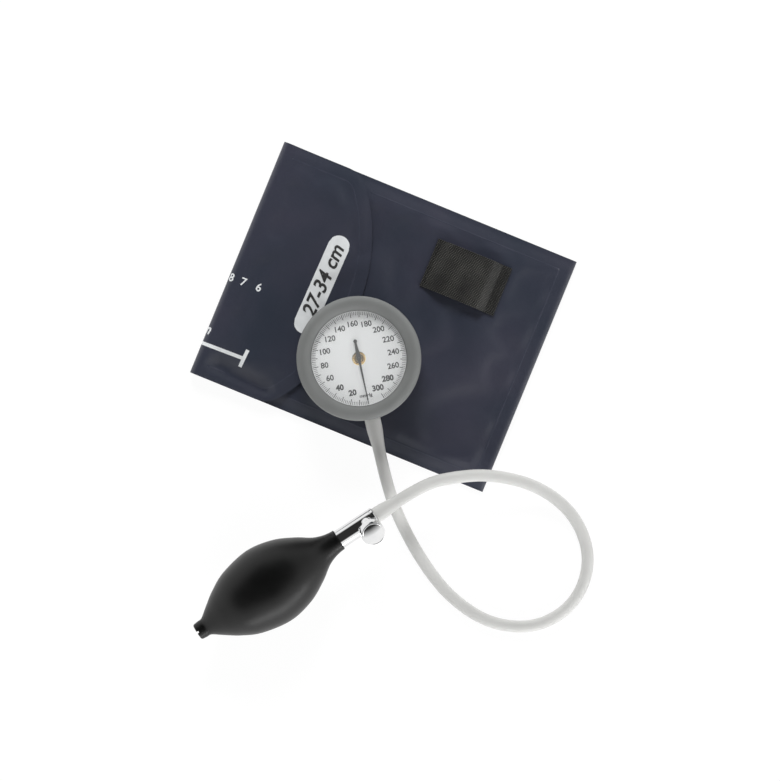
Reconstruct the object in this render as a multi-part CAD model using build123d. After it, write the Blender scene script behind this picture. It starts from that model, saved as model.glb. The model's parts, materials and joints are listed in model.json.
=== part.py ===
from build123d import *
import math
import os

# An aneroid sphygmomanometer, as it lies stored: a folded arm cuff with the gauge
# plugged into its port, a rubber hose, and a hand bulb with its release valve.
# Millimetres. The origin is the centre of the folded cuff's underside, +Z is up,
# +X runs along the folded cuff's long side and +Y along its short side.

os.makedirs("parts", exist_ok=True)

BASE = (Align.CENTER, Align.CENTER, Align.MIN)

# The gauge's rings, the valve's barrel and knob, the fittings of the port and the dial, and
# hidden bores with what sits in them have flat sides. Arbors, plug, branch and stem are round.
GAUGE_SIDES = 42
FITTING_SIDES = 24
BORE_SIDES = 16

# Folded cuff
CUFF_LENGTH = 183.0
CUFF_WIDTH = 144.0
PLY = 0.5
WELD_MARGIN = 8.0
TOP_PANEL_TOP = 5.1
CHAMBER_RISE = 1.0
CHAMBER_SLOPE = 3.0
LINING_SLOPE = 7.0
BLADDER_WALL = 0.4
TUCK = 7.15
LOOP_PATCH_LENGTH = 25.0
LOOP_PATCH_WIDTH = 104.0
LOOP_PATCH_THICKNESS = 0.7
HOOK_PATCH_THICKNESS = 0.8
PATCH_MARGIN = 2.0
FASTENER_GAP = 0.1
FLAP_REACH = 75.7
FLAP_END_RADIUS = 109.0
FLAP_CORNER = 16.0

# Elastic strap sewn across the top panel
STRAP_FROM_END = 56.2
STRAP_FROM_SIDE = 32.8
STRAP_LENGTH = 46.0
STRAP_WIDTH = 29.6
STRAP_THICKNESS = 1.2
STRAP_CLEARANCE = 4.7
STRAP_TAB = 6.5
STRAP_RAMP = 5.5
STRAP_BEND = 2.6

# Port on the cuff and the plug in it
GAUGE_CENTRE = (-3.6, -27.8)
HOSE_EXIT_ANGLE = -55.4
PORT_FLANGE_R = 12.0
PORT_FLANGE_T = 0.9
PORT_NECK_R = 7.0
PORT_NECK_H = 3.5
PORT_BORE_R = 4.05
PLUG_R = 4.0
PLUG_SHOULDER_GAP = 0.3

# Gauge case and connector
CONNECTOR_R = 11.0
CONNECTOR_H = 8.5
AIRWAY_R = 1.5
NIPPLE_R = 5.0
SPIGOT_R = 2.6
SPIGOT_REACH = 44.0
SPIGOT_DROP = 5.0
CASE_R = 29.0
CASE_WALL = 1.8
CASE_H = 18.2
LOCK_NUT_ACROSS = 15.0
LOCK_NUT_H = 1.8
THREAD_GAP = 0.04
BEZEL_WALL = 1.0
LENS_H = 1.6
BEZEL_LIP = 0.8
BEZEL_COVER = 1.9
BUMPER_WALL = 6.4
BUMPER_SLANT = 4.0
BUMPER_RISE = 2.8
BUMPER_LIFT = 1.2

# Dial, pointer and hand
DIAL_GAP = 0.4
DIAL_T = 0.5
DIAL_FOOT_R = 1.2
DIAL_FOOT_X = 9.0
DIAL_FOOT_Y = -8.0
EYELET_R = 3.9
EYELET_BORE_R = 2.8
EYELET_H = 0.3
POINTER_MARGIN = 3.1
POINTER_TAIL = 9.6
POINTER_NECK = 0.45
POINTER_TAIL_WIDTH = 1.3
POINTER_BLOB_R = 1.1
POINTER_TIP_WIDTH = 1.3
POINTER_TIP_LENGTH = 3.6
POINTER_T = 0.3
POINTER_LIFT = 1.1
HUB_R = 1.9
HUB_H = 0.9

# Movement
CAPSULE_R = 15.0
CAPSULE_H = 3.4
CAPSULE_RIM_T = 0.5
CAPSULE_FLAT_R = 6.0
STUD_R = 0.5
STUD_BORE_R = 0.55
STUD_GUIDE_H = 1.6
STUD_GUIDE_R = 1.4
STUD_FOOT_GAP = 0.05
ROCKER_ARM = 4.0
ROCKER_FINGER = 3.0
ROCKER_SWING = 20.0
ROCKER_R = 0.6
ROCKER_BORE_R = 0.64
ROCKER_ARM_T = 0.8
ROCKER_ARM_W = 1.8
ROCKER_ARM_TOE = 0.9
ROCKER_RISE = 3.0
LIFTER_GAP = 0.08
PLATE_T = 0.8
PLATE_GAP = 1.8
PLATE_R = 23.0
PLATE_CLEAR = 1.4
BRIDGE_R = 20.0
LUG_T = 1.2
LUG_W = 2.4
END_PLAY = 0.3
MODULE = 0.25
PINION_TEETH = 10
SECTOR_TEETH_ROUND = 120
SECTOR_TEETH = 15
SECTOR_T = 0.8
PINION_T = 1.0
POINTER_SWEEP = 339.6
TOOTH_SHARE = 0.40
TOOTH_TAPER = 0.45
SECTOR_HUB_R = 1.5
SECTOR_SPOKE = 9.0
TAIL_WIDTH = 1.0
FINGER_SIZE = 0.8
FINGER_NUB_H = 0.3
FINGER_RELIEF = 0.12
FINGER_GAP = 0.1
SECTOR_WEB = 1.4
SECTOR_WINDOW_R = 4.0
SLOT_GAP = 0.3
ARBOR_R = 0.5
PIVOT_GAP = 0.03
SPRING_TURNS = 3
SPRING_STEPS = 12
SPRING_PITCH = 1.2
SPRING_STRIP = 0.2
SPRING_POST = 0.8
SPRING_H = 0.3
COLLET_R = 1.3
PILLAR_R = 1.3
PILLARS = [(13.0, 9.0), (-14.2, 6.0), (0.0, -13.5)]
POST_R = 2.0
POST_CIRCLE_R = 19.0
POST_ANGLES = [30.0, 150.0, 270.0]

# Bulb: its belly is given from the tail, as shares of its length and of its radius
BULB_NECK = (24.95, -127.85)
BULB_AXIS_ANGLE = 55.5
BULB_LENGTH = 96.5
BULB_R = 23.7
TAIL_R = 5.5
TAIL_END_R = 4.9
TAIL_LENGTH = 6.2
NECK_R = 6.3
BULB_WALL = 2.3
BULB_SIDES = 24
TAIL_BORE_R = 3.5
TAIL_BORE_DEPTH = 11.0
TAIL_NOTCHES = 4
TAIL_NOTCH = 1.2
BULB_BELLY = [
    (0.126, 0.422),
    (0.212, 0.658),
    (0.321, 0.869),
    (0.497, 1.0),
    (0.668, 0.878),
    (0.788, 0.637),
    (0.865, 0.426),
    (0.927, 0.316),
]

# Release valve
BARREL_R = 5.7
BARREL_SIDES = 30
BARREL_LENGTH = 25.0
NECK_SPIGOT_R = 4.0
NECK_SPIGOT_LENGTH = 16.0
CHAMBER_R = 2.6
CHAMBER_END = 3.0
VALVE_SPIGOT_LENGTH = 11.0
BRANCH_AT = 19.0
BRANCH_LEAN = 21.0
BRANCH_R = 4.3
BRANCH_TOP = 10.5
BRANCH_BORE_R = 2.8
SEAT_FLOOR = 2.6
SEAT_H = 1.8
SEAT_HOLE_R = 0.8
NEEDLE_R = 1.6
NEEDLE_CONE_H = 0.8
NEEDLE_TOP = 5.4
NEEDLE_GAP = 0.03
STEM_R = 1.75
STEM_BORE_R = 1.85
STEM_RING_LOW = 7.4
STEM_RING_H = 0.9
GLAND_R = 4.9
GLAND_H = 1.5
KNOB_R = 6.85
KNOB_FACE = 21.0
KNOB_T = 7.0
KNOB_NECK_R = 3.4
KNOB_GAP = 0.8
VENT_R = 0.6
VENT_AT = 6.6
POPPET_R = 2.1
POPPET_T = 0.9
POPPET_SEAT_R = 1.2
POPPET_SEAT_LOW = -1.4
POPPET_SEAT_T = 2.0
DISC_GAP = 0.02
SCREEN_T = 0.6
DISC_SLOTS = 3
DISC_SLOT_PITCH = 1.1
DISC_SLOT_WIDTH = 0.5
DISC_SLOT_REACH = 1.5

# Inlet valve in the bulb's tail
INLET_RECESS = 1.4
INLET_LENGTH = 6.6
INLET_HOLE_R = 1.2
INLET_SEAT_T = 2.6
INLET_CHAMBER_R = 2.5
INLET_DISC_R = 2.0
INLET_DISC_T = 0.9
GUARD_AT = 5.4
GUARD_T = 1.2

# Hose
HOSE_R = 3.5
HOSE_SIDES = 8
HOSE_END_R = 4.6
GAUGE_SLEEVE_START = 14.0
GAUGE_SLEEVE_END = 54.0
VALVE_SLEEVE_END = 39.0
VALVE_SLEEVE_STRAIGHT = 6.0
ARC_SHARE = 0.45
GAUGE_LEAD = 18.0
VALVE_LEAD = 19.0

# Heights that follow from the stack of pieces
CHAMBER_TOP = TOP_PANEL_TOP + CHAMBER_RISE
HOOK_BASE = CHAMBER_TOP + LOOP_PATCH_THICKNESS + FASTENER_GAP
FLAP_BASE = HOOK_BASE + HOOK_PATCH_THICKNESS
FLAP_TOP = FLAP_BASE + 2 * PLY
PORT_TOP = CHAMBER_TOP + PORT_NECK_H
CONNECTOR_BASE = PORT_TOP + PLUG_SHOULDER_GAP
CONNECTOR_TOP = CONNECTOR_BASE + CONNECTOR_H
SPIGOT_Z = CONNECTOR_TOP - SPIGOT_DROP
CASE_FLOOR = CONNECTOR_TOP + CASE_WALL
CASE_TOP = CONNECTOR_TOP + CASE_H
CAPSULE_BASE = CASE_FLOOR + LOCK_NUT_H
CAPSULE_TOP = CAPSULE_BASE + CAPSULE_H
ROCKER_Z = CAPSULE_TOP + ROCKER_RISE
PLATE_Z = ROCKER_Z + PLATE_CLEAR
GEAR_Z = PLATE_Z + PLATE_T
BRIDGE_Z = GEAR_Z + PLATE_GAP
DIAL_Z = CASE_TOP - 2.0
DIAL_TOP = DIAL_Z + DIAL_T
POINTER_Z = DIAL_TOP + POINTER_LIFT
BEZEL_TOP = CASE_TOP + LENS_H + BEZEL_LIP
BUMPER_BASE = CONNECTOR_TOP + BUMPER_LIFT
BUMPER_TOP = BEZEL_TOP + BUMPER_RISE

# Seats and seals
POPPET_SEAT_TOP = POPPET_SEAT_LOW + POPPET_SEAT_T
STEM_RING_TOP = STEM_RING_LOW + STEM_RING_H
INLET_SEAT_TOP = INLET_RECESS + INLET_SEAT_T
LENS_R = CASE_R - BEZEL_WALL

# Sizes that go with the case
DIAL_R = CASE_R - CASE_WALL - DIAL_GAP
POINTER_TIP = DIAL_R - POINTER_MARGIN
WINDOW_R = CASE_R - BEZEL_COVER
BUMPER_R = CASE_R + BUMPER_WALL
BUMPER_CREST_R = BUMPER_R - BUMPER_SLANT

# Gear train
PINION_PITCH_R = MODULE * PINION_TEETH / 2
SECTOR_PITCH_R = MODULE * SECTOR_TEETH_ROUND / 2
SECTOR_SWING = POINTER_SWEEP * PINION_TEETH / SECTOR_TEETH_ROUND
ROCKER_X = -ROCKER_ARM
SECTOR_X = ROCKER_X
SECTOR_Y = math.sqrt((PINION_PITCH_R + SECTOR_PITCH_R) ** 2 - SECTOR_X**2)
SECTOR_AIM = math.degrees(math.atan2(-SECTOR_Y, -SECTOR_X))
FINGER_THROW = ROCKER_FINGER * math.tan(math.radians(ROCKER_SWING / 2))
TAIL_LEVER = FINGER_THROW / math.sin(math.radians(SECTOR_SWING / 2))

# Places: the gauge's own frame looks down its dial with the hose leaving along -Y,
# and the valve's frame has Z along the bulb's axis towards the hose and X up.
GAUGE = Pos(*GAUGE_CENTRE, 0) * Rot(0, 0, HOSE_EXIT_ANGLE + 90)
BULB_DIRECTION = Vector(
    math.cos(math.radians(BULB_AXIS_ANGLE)), math.sin(math.radians(BULB_AXIS_ANGLE)), 0
)
NECK_POINT = Vector(*BULB_NECK, BULB_R)
VALVE = Location(Plane(NECK_POINT, x_dir=(0, 0, 1), z_dir=BULB_DIRECTION))
BRANCH = VALVE * Pos(0, 0, BRANCH_AT) * Rot(0, 0, BRANCH_LEAN) * Rot(0, 90, 0)
TAIL = VALVE * Pos(0, 0, -BULB_LENGTH)


def save(node, shape):
    """Write one piece, or one group of like pieces, under its own name."""
    export_step(shape, f"parts/{node}.step")


def rod(radius, low, high):
    """A round bar about Z between two heights."""
    return Pos(0, 0, low) * Cylinder(radius, high - low, align=BASE)


def bar(sides, radius, low, high):
    """A many-sided bar about Z between two heights, by its radius across the corners."""
    return extrude(Pos(0, 0, low) * RegularPolygon(radius, sides), amount=high - low)


def bore(radius, low, high):
    """A hidden bore about Z, or a piece that fills one."""
    return bar(BORE_SIDES, radius, low, high)


def fitting(radius, low, high):
    """A fitting of the port or the dial about Z, or the hole for one."""
    return bar(FITTING_SIDES, radius, low, high)


def frustum(sides, low, high):
    """A many-sided span about Z between two (radius, height) stations."""
    (low_r, low_z), (high_r, high_z) = low, high
    flat_share = math.cos(math.pi / sides)
    taper = math.degrees(math.atan(abs(low_r - high_r) * flat_share / (high_z - low_z)))
    section = RegularPolygon(max(low_r, high_r), sides)
    span = extrude(section, amount=high_z - low_z, taper=taper)
    if low_r >= high_r:
        return Pos(0, 0, low_z) * span
    return Pos(0, 0, high_z) * Rot(180, 0, 0) * span


def faceted(sides, *outline):
    """A many-sided form about Z through (radius, height) stations, plainer than a turned one."""
    spans = [frustum(sides, low, high) for low, high in zip(outline, outline[1:])]
    return spans[0].fuse(*spans[1:])


def block(x_low, x_high, y_low, y_high, z_low, z_high):
    """A box between two corners."""
    size = (x_high - x_low, y_high - y_low, z_high - z_low)
    return Pos(x_low, y_low, z_low) * Box(*size, align=(Align.MIN, Align.MIN, Align.MIN))


def hex_bar(radius, low, high):
    """A hexagonal bar about Z between two heights, by its radius across the flats."""
    section = RegularPolygon(radius, 6, major_radius=False)
    return extrude(Pos(0, 0, low) * section, amount=high - low)


def on_circle(radius, angle):
    """A place on a circle about Z."""
    turn = math.radians(angle)
    return Pos(radius * math.cos(turn), radius * math.sin(turn), 0)


# Cuff

RIGHT_FOLD_R = TOP_PANEL_TOP / 2
RIGHT_FOLD_X = CUFF_LENGTH / 2 - RIGHT_FOLD_R
LEFT_FOLD_R = FLAP_TOP / 2
LEFT_FOLD_X = LEFT_FOLD_R - CUFF_LENGTH / 2
TOP_PANEL_START = LEFT_FOLD_X + TUCK
CHAMBER_LOW_X = TOP_PANEL_START + WELD_MARGIN
CHAMBER_HIGH_X = CUFF_LENGTH / 2 - WELD_MARGIN
CHAMBER_LENGTH = CHAMBER_HIGH_X - CHAMBER_LOW_X
CHAMBER_WIDTH = CUFF_WIDTH - 2 * WELD_MARGIN
CHAMBER_X = (CHAMBER_LOW_X + CHAMBER_HIGH_X) / 2
LINING_DROP = TOP_PANEL_TOP - 4 * PLY


def sheet(x_low, x_high, low, thickness=PLY):
    """A flat ply over the cuff's whole width."""
    return block(x_low, x_high, -CUFF_WIDTH / 2, CUFF_WIDTH / 2, low, low + thickness)


def fold(x, z, outer_r, side):
    """A ply bent half round a line along Y: side is 1 at the right end, -1 at the left."""
    inner_r = outer_r - PLY
    outer = ThreePointArc((x, 0, z - outer_r), (x + side * outer_r, 0, z), (x, 0, z + outer_r))
    inner = ThreePointArc((x, 0, z + inner_r), (x + side * inner_r, 0, z), (x, 0, z - inner_r))
    outline = Curve() + [outer, Line(outer @ 1, inner @ 0), inner, Line(inner @ 1, outer @ 0)]
    return extrude(make_face(outline), amount=CUFF_WIDTH / 2, both=True)


def pillow(base_z, rise, slope, inset=0.0):
    """The chamber's bulge above (or below) a flat ply, with sloping sides."""
    length, width = CHAMBER_LENGTH - 2 * inset, CHAMBER_WIDTH - 2 * inset
    base = Rectangle(length, width)
    crown = Rectangle(length - 2 * slope, width - 2 * slope)
    walls = [Pos(CHAMBER_X, 0, base_z) * base, Pos(CHAMBER_X, 0, base_z + rise) * crown]
    return loft(walls, ruled=True)


def flap_outline(reach, inset=0.0):
    """The flap seen from above: one wide arc for its end and two rounded corners."""
    tip_x = -CUFF_LENGTH / 2 + reach - inset
    end_r = FLAP_END_RADIUS - inset
    half = CUFF_WIDTH / 2 - inset
    edge_x = tip_x - end_r + math.sqrt(end_r**2 - half**2)
    end = ThreePointArc((edge_x, -half), (tip_x, 0), (edge_x, half))
    sides = Polyline(end @ 1, (LEFT_FOLD_X, half), (LEFT_FOLD_X, -half), end @ 0)
    face = make_face(Curve() + [end, sides])
    corners = face.vertices().group_by(Axis.X)[-1]
    return fillet(corners, FLAP_CORNER - inset)


def port_hole(low, high):
    """The hole that the port needs in a ply or in the bladder."""
    return fitting(PORT_BORE_R, low, high)


def cuff_outer_shell():
    """Printed nylon: the top panel with its chamber, the right fold and the bottom panel."""
    top_base = TOP_PANEL_TOP - PLY
    shell = sheet(TOP_PANEL_START, RIGHT_FOLD_X, top_base)
    shell += pillow(TOP_PANEL_TOP, CHAMBER_RISE, CHAMBER_SLOPE)
    shell -= pillow(top_base, CHAMBER_RISE, CHAMBER_SLOPE)
    shell += fold(RIGHT_FOLD_X, RIGHT_FOLD_R, RIGHT_FOLD_R, 1)
    shell += sheet(LEFT_FOLD_X, RIGHT_FOLD_X, 0)
    return shell - Pos(*GAUGE_CENTRE, 0) * port_hole(top_base, CHAMBER_TOP)


def cuff_inner_lining():
    """The skin-side ply: it hangs below the chamber and rests on itself inside the fold."""
    low = TOP_PANEL_TOP - 2 * PLY
    lining = sheet(TOP_PANEL_START, RIGHT_FOLD_X, low)
    lining += pillow(low, -LINING_DROP + PLY, LINING_SLOPE)
    lining -= pillow(low + PLY, -LINING_DROP + PLY, LINING_SLOPE)
    lining += fold(RIGHT_FOLD_X, RIGHT_FOLD_R, RIGHT_FOLD_R - PLY, 1)
    return lining + sheet(LEFT_FOLD_X, RIGHT_FOLD_X, PLY)


def air_bladder():
    """The air chamber between the plies, open only under the port."""
    middle = TOP_PANEL_TOP - PLY
    drop = LINING_DROP - PLY
    bag = pillow(middle, CHAMBER_RISE, CHAMBER_SLOPE)
    bag += pillow(middle, -drop, LINING_SLOPE)
    inner_slope = CHAMBER_SLOPE - BLADDER_WALL
    bag -= pillow(middle, CHAMBER_RISE - BLADDER_WALL, inner_slope, BLADDER_WALL)
    bag -= pillow(middle, BLADDER_WALL - drop, LINING_SLOPE - BLADDER_WALL, BLADDER_WALL)
    return bag - Pos(*GAUGE_CENTRE, 0) * port_hole(middle, CHAMBER_TOP)


def patch(low, thickness, inset=0.0):
    """A hook or loop patch under the flap."""
    x = CHAMBER_LOW_X + CHAMBER_SLOPE + PATCH_MARGIN + LOOP_PATCH_LENGTH / 2
    length, width = LOOP_PATCH_LENGTH - 2 * inset, LOOP_PATCH_WIDTH - 2 * inset
    return Pos(x, 0, low) * Box(length, width, thickness, align=BASE)


def port_socket():
    """The moulded port: a flange welded on the top ply and a short neck."""
    socket = fitting(PORT_NECK_R, CHAMBER_TOP, PORT_TOP)
    socket += fitting(PORT_FLANGE_R, CHAMBER_TOP, CHAMBER_TOP + PORT_FLANGE_T)
    return Pos(*GAUGE_CENTRE, 0) * (socket - rod(PORT_BORE_R, CHAMBER_TOP, PORT_TOP))


def strap():
    """Elastic webbing, sewn down at both ends and standing clear of the cuff between."""
    half_t = STRAP_THICKNESS / 2
    low, high = CHAMBER_TOP + half_t, CHAMBER_TOP + STRAP_CLEARANCE + half_t
    x, y = CUFF_LENGTH / 2 - STRAP_FROM_END, CUFF_WIDTH / 2 - STRAP_FROM_SIDE
    end, foot = STRAP_LENGTH / 2, STRAP_LENGTH / 2 - STRAP_TAB
    shoulder = foot - STRAP_RAMP
    line = FilletPolyline(
        (x - end, y, low),
        (x - foot, y, low),
        (x - shoulder, y, high),
        (x + shoulder, y, high),
        (x + foot, y, low),
        (x + end, y, low),
        radius=STRAP_BEND,
    )
    section = Plane(line @ 0, x_dir=(0, 1, 0), z_dir=line % 0)
    return sweep(section * Rectangle(STRAP_WIDTH, STRAP_THICKNESS), path=line)


save("cuff_outer_shell", cuff_outer_shell())
save("cuff_inner_lining", cuff_inner_lining())
save("air_bladder", air_bladder())
save("loop_patch", patch(CHAMBER_TOP, LOOP_PATCH_THICKNESS))
save("port_socket", port_socket())
save("holding_strap", strap())


# Flap: the left fold and the panel that closes over the top

def flap_ply(low, outer_r):
    """One ply of the flap with its half of the left fold."""
    panel = extrude(Pos(0, 0, low) * flap_outline(FLAP_REACH), amount=PLY)
    return panel + fold(LEFT_FOLD_X, LEFT_FOLD_R, outer_r, -1)


save("flap_outer_shell", flap_ply(FLAP_TOP - PLY, LEFT_FOLD_R))
save("flap_inner_lining", flap_ply(FLAP_BASE, LEFT_FOLD_R - PLY))
save("hook_patch", patch(HOOK_BASE, HOOK_PATCH_THICKNESS))


# Connector and case

TO_SPIGOT = Pos(0, 0, SPIGOT_Z) * Rot(90, 0, 0)


def gauge_connector():
    """The tee under the gauge: plug, body, threaded nipple and hose spigot."""
    toe = CHAMBER_TOP - PLY + BLADDER_WALL
    body = rod(PLUG_R, toe, CONNECTOR_BASE) + hex_bar(CONNECTOR_R, CONNECTOR_BASE, CONNECTOR_TOP)
    body += fitting(NIPPLE_R, CONNECTOR_TOP, CAPSULE_BASE)
    body += TO_SPIGOT * bore(SPIGOT_R, 0, SPIGOT_REACH)
    body -= bore(AIRWAY_R, toe, CAPSULE_BASE)
    return body - TO_SPIGOT * bore(AIRWAY_R, 0, SPIGOT_REACH)


def gauge_case():
    """The pressed cup that holds the movement."""
    cup = bar(GAUGE_SIDES, CASE_R, CONNECTOR_TOP, CASE_TOP)
    cup -= bar(GAUGE_SIDES, CASE_R - CASE_WALL, CASE_FLOOR, CASE_TOP)
    return cup - fitting(NIPPLE_R + THREAD_GAP, CONNECTOR_TOP, CASE_FLOOR)


def lock_nut():
    """The thin nut that clamps the case to the connector."""
    thread = fitting(NIPPLE_R + THREAD_GAP, CASE_FLOOR, CAPSULE_BASE)
    return hex_bar(LOCK_NUT_ACROSS / 2, CASE_FLOOR, CAPSULE_BASE) - thread


def bezel_ring():
    """The metal ring that holds the lens down on the case."""
    lip_base = BEZEL_TOP - BEZEL_LIP
    hoop = bar(GAUGE_SIDES, CASE_R, CASE_TOP, BEZEL_TOP)
    hoop -= bar(GAUGE_SIDES, LENS_R, CASE_TOP, lip_base)
    return hoop - bar(GAUGE_SIDES, WINDOW_R, lip_base, BEZEL_TOP)


def bumper():
    """The rubber bumper round the case, with a sloping well down to the window."""
    slant = BUMPER_SLANT * math.cos(math.pi / 4)
    shell = faceted(
        GAUGE_SIDES,
        (BUMPER_R, BUMPER_BASE),
        (BUMPER_R, BUMPER_TOP - BUMPER_SLANT),
        (BUMPER_CREST_R + slant, BUMPER_TOP - BUMPER_SLANT + slant),
        (BUMPER_CREST_R, BUMPER_TOP),
    )
    shell -= frustum(GAUGE_SIDES, (WINDOW_R, BEZEL_TOP), (BUMPER_CREST_R, BUMPER_TOP))
    return shell - bar(GAUGE_SIDES, CASE_R, BUMPER_BASE, BEZEL_TOP)


save("gauge_connector", GAUGE * gauge_connector())
save("gauge_case", GAUGE * gauge_case())
save("case_lock_nut", GAUGE * lock_nut())
save("bezel_ring", GAUGE * bezel_ring())
save("bumper", GAUGE * bumper())
save("lens", GAUGE * bar(GAUGE_SIDES, LENS_R, CASE_TOP, CASE_TOP + LENS_H))


# Movement

def capsule():
    """The pressure capsule: two dished discs joined at their rims, with a stud guide."""
    middle = (CAPSULE_BASE + CAPSULE_TOP) / 2
    half_rim = CAPSULE_RIM_T / 2
    shell = faceted(
        FITTING_SIDES,
        (CAPSULE_FLAT_R, CAPSULE_BASE),
        (CAPSULE_R, middle - half_rim),
        (CAPSULE_R, middle + half_rim),
        (CAPSULE_FLAT_R, CAPSULE_TOP),
    )
    guide_top = CAPSULE_TOP + STUD_GUIDE_H
    guide = bore(STUD_GUIDE_R, CAPSULE_TOP, guide_top)
    return shell + guide - bore(STUD_BORE_R, CAPSULE_TOP, guide_top)


def lifting_stud():
    """The stud that the capsule pushes up against the rocker's arm."""
    tilt = math.radians(ROCKER_SWING / 2)
    half_arm = ROCKER_ARM_T / 2 / math.cos(tilt)
    arm_low = ROCKER_Z - (ROCKER_ARM + STUD_R) * math.tan(tilt) - half_arm
    return bore(STUD_R, CAPSULE_TOP + STUD_FOOT_GAP, arm_low - LIFTER_GAP)


FINGER_Y = SECTOR_Y + TAIL_LEVER
FINGER_X = SECTOR_X + TAIL_WIDTH / 2 + FINGER_GAP
LUG_NEAR_Y = -ROCKER_ARM_W / 2 - END_PLAY - LUG_T
LUG_FAR_Y = FINGER_Y + FINGER_SIZE / 2 + END_PLAY
ROCKER_LINE = Axis((ROCKER_X, 0, ROCKER_Z), (0, 1, 0))


def rocker_shaft():
    """The rocker: an arm over the stud and a finger that pushes the sector's tail."""
    start = Pos(ROCKER_X, LUG_NEAR_Y, ROCKER_Z) * Rot(-90, 0, 0)
    rocker = start * rod(ROCKER_R, 0, LUG_FAR_Y + LUG_T - LUG_NEAR_Y)
    half_w, half_t = ROCKER_ARM_W / 2, ROCKER_ARM_T / 2
    low, high = ROCKER_Z - half_t, ROCKER_Z + half_t
    rocker += block(ROCKER_X, ROCKER_ARM_TOE, -half_w, half_w, low, high)
    near, far = FINGER_Y - FINGER_SIZE / 2, FINGER_Y + FINGER_SIZE / 2
    back = FINGER_X + FINGER_RELIEF + FINGER_SIZE
    nub = ROCKER_Z + ROCKER_FINGER - FINGER_NUB_H / 2
    rocker += block(ROCKER_X, back, near, far, low, high)
    rocker += block(FINGER_X + FINGER_RELIEF, back, near, far, low, nub + FINGER_NUB_H)
    rocker += block(FINGER_X, back, near, far, nub, nub + FINGER_NUB_H)
    return rocker.rotate(ROCKER_LINE, ROCKER_SWING / 2)


def tooth(pitch_r, angle, inward=0.0):
    """The four corners of a straight-flanked tooth on a pitch circle."""
    pitch = math.pi * MODULE
    half_pitch = math.degrees(TOOTH_SHARE * pitch / 2 / pitch_r)
    root_r, tip_r = pitch_r - 1.25 * MODULE, pitch_r + MODULE
    root_half = half_pitch * (1 + TOOTH_TAPER)
    tip_half = half_pitch * (1 - TOOTH_TAPER)
    spots = [(root_r, -root_half), (tip_r, -tip_half), (tip_r, tip_half), (root_r, root_half)]
    return [
        (r * math.cos(math.radians(angle + a)), r * math.sin(math.radians(angle + a)))
        for r, a in spots
    ]


def pinion_face(turn):
    """The pinion's outline, with a tooth at the given angle."""
    corners = []
    for i in range(PINION_TEETH):
        corners += tooth(PINION_PITCH_R, turn + i * 360 / PINION_TEETH)
    return make_face(Polyline(*corners, close=True))


SECTOR_Z = ROCKER_Z + ROCKER_FINGER - SECTOR_T / 2
PINION_Z = ROCKER_Z + ROCKER_FINGER - PINION_T / 2
COLLET_Z = PINION_Z + PINION_T
SPRING_Z = COLLET_Z + (BRIDGE_Z - COLLET_Z - SPRING_H) / 2


def polar(radius, angle):
    """A flat point at a radius and an angle."""
    return (radius * math.cos(math.radians(angle)), radius * math.sin(math.radians(angle)))


def sector_gear():
    """The toothed sector with its window, hub and driving tail, at its zero position."""
    pitch_angle = 360 / SECTOR_TEETH_ROUND
    start = SECTOR_AIM - (SECTOR_TEETH - 1) / 2 * pitch_angle
    corners = []
    for i in range(SECTOR_TEETH):
        corners += tooth(SECTOR_PITCH_R, start + i * pitch_angle)
    face = make_face(Polyline((0, 0), *corners, close=True))
    half_span = SECTOR_TEETH * pitch_angle / 2
    rim_r = SECTOR_PITCH_R - 1.25 * MODULE - SECTOR_WEB
    window = [
        polar(SECTOR_WINDOW_R, SECTOR_AIM),
        polar(rim_r, SECTOR_AIM - half_span + SECTOR_SPOKE),
        polar(rim_r, SECTOR_AIM + half_span - SECTOR_SPOKE),
    ]
    face -= make_face(Polyline(*window, close=True))
    tail_end = TAIL_LEVER + FINGER_SIZE
    face += Circle(SECTOR_HUB_R) + Pos(0, tail_end / 2) * Rectangle(TAIL_WIDTH, tail_end)
    gear = extrude(Pos(0, 0, SECTOR_Z) * face, amount=SECTOR_T)
    gear -= rod(ARBOR_R, SECTOR_Z, SECTOR_Z + SECTOR_T)
    return Pos(SECTOR_X, SECTOR_Y, 0) * Rot(0, 0, -SECTOR_SWING / 2) * gear


def pivot_holes(low, high):
    """Running holes in a plate for the pointer's and the sector's arbors."""
    hole = bore(ARBOR_R + PIVOT_GAP, low, high)
    return hole + Pos(SECTOR_X, SECTOR_Y, 0) * hole


def sector_arbor():
    """The sector's own arbor between the plates."""
    return Pos(SECTOR_X, SECTOR_Y, 0) * rod(ARBOR_R, PLATE_Z, BRIDGE_Z + PLATE_T)


def pointer_arbor():
    """The pointer's arbor with its pinion cut on it and the hairspring's collet."""
    mesh_angle = SECTOR_AIM + 180 + 180 / PINION_TEETH + POINTER_SWEEP / 2
    arbor = rod(ARBOR_R, PLATE_Z, POINTER_Z + POINTER_T)
    arbor += extrude(Pos(0, 0, PINION_Z) * pinion_face(mesh_angle), amount=PINION_T)
    return arbor + bore(COLLET_R, COLLET_Z, BRIDGE_Z - PIVOT_GAP)


def hairspring():
    """A flat spiral of short runs from the arbor's collet to its post under the bridge."""
    outer, inner = [], []
    for step in range(SPRING_TURNS * SPRING_STEPS + 1):
        angle = 360 * step / SPRING_STEPS
        inner_r = COLLET_R + SPRING_PITCH * step / SPRING_STEPS
        outer.append(polar(inner_r + SPRING_STRIP, angle))
        inner.append(polar(inner_r, angle))
    face = make_face(Polyline(*outer, *reversed(inner), close=True))
    return extrude(Pos(0, 0, SPRING_Z) * face, amount=SPRING_H)


def hex_plate(radius, low):
    """A movement plate: a hexagon by its corners, one of them on +Y."""
    corner_up = Pos(0, 0, low) * Rot(0, 0, 90)
    return extrude(corner_up * RegularPolygon(radius, 6), amount=PLATE_T)


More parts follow.
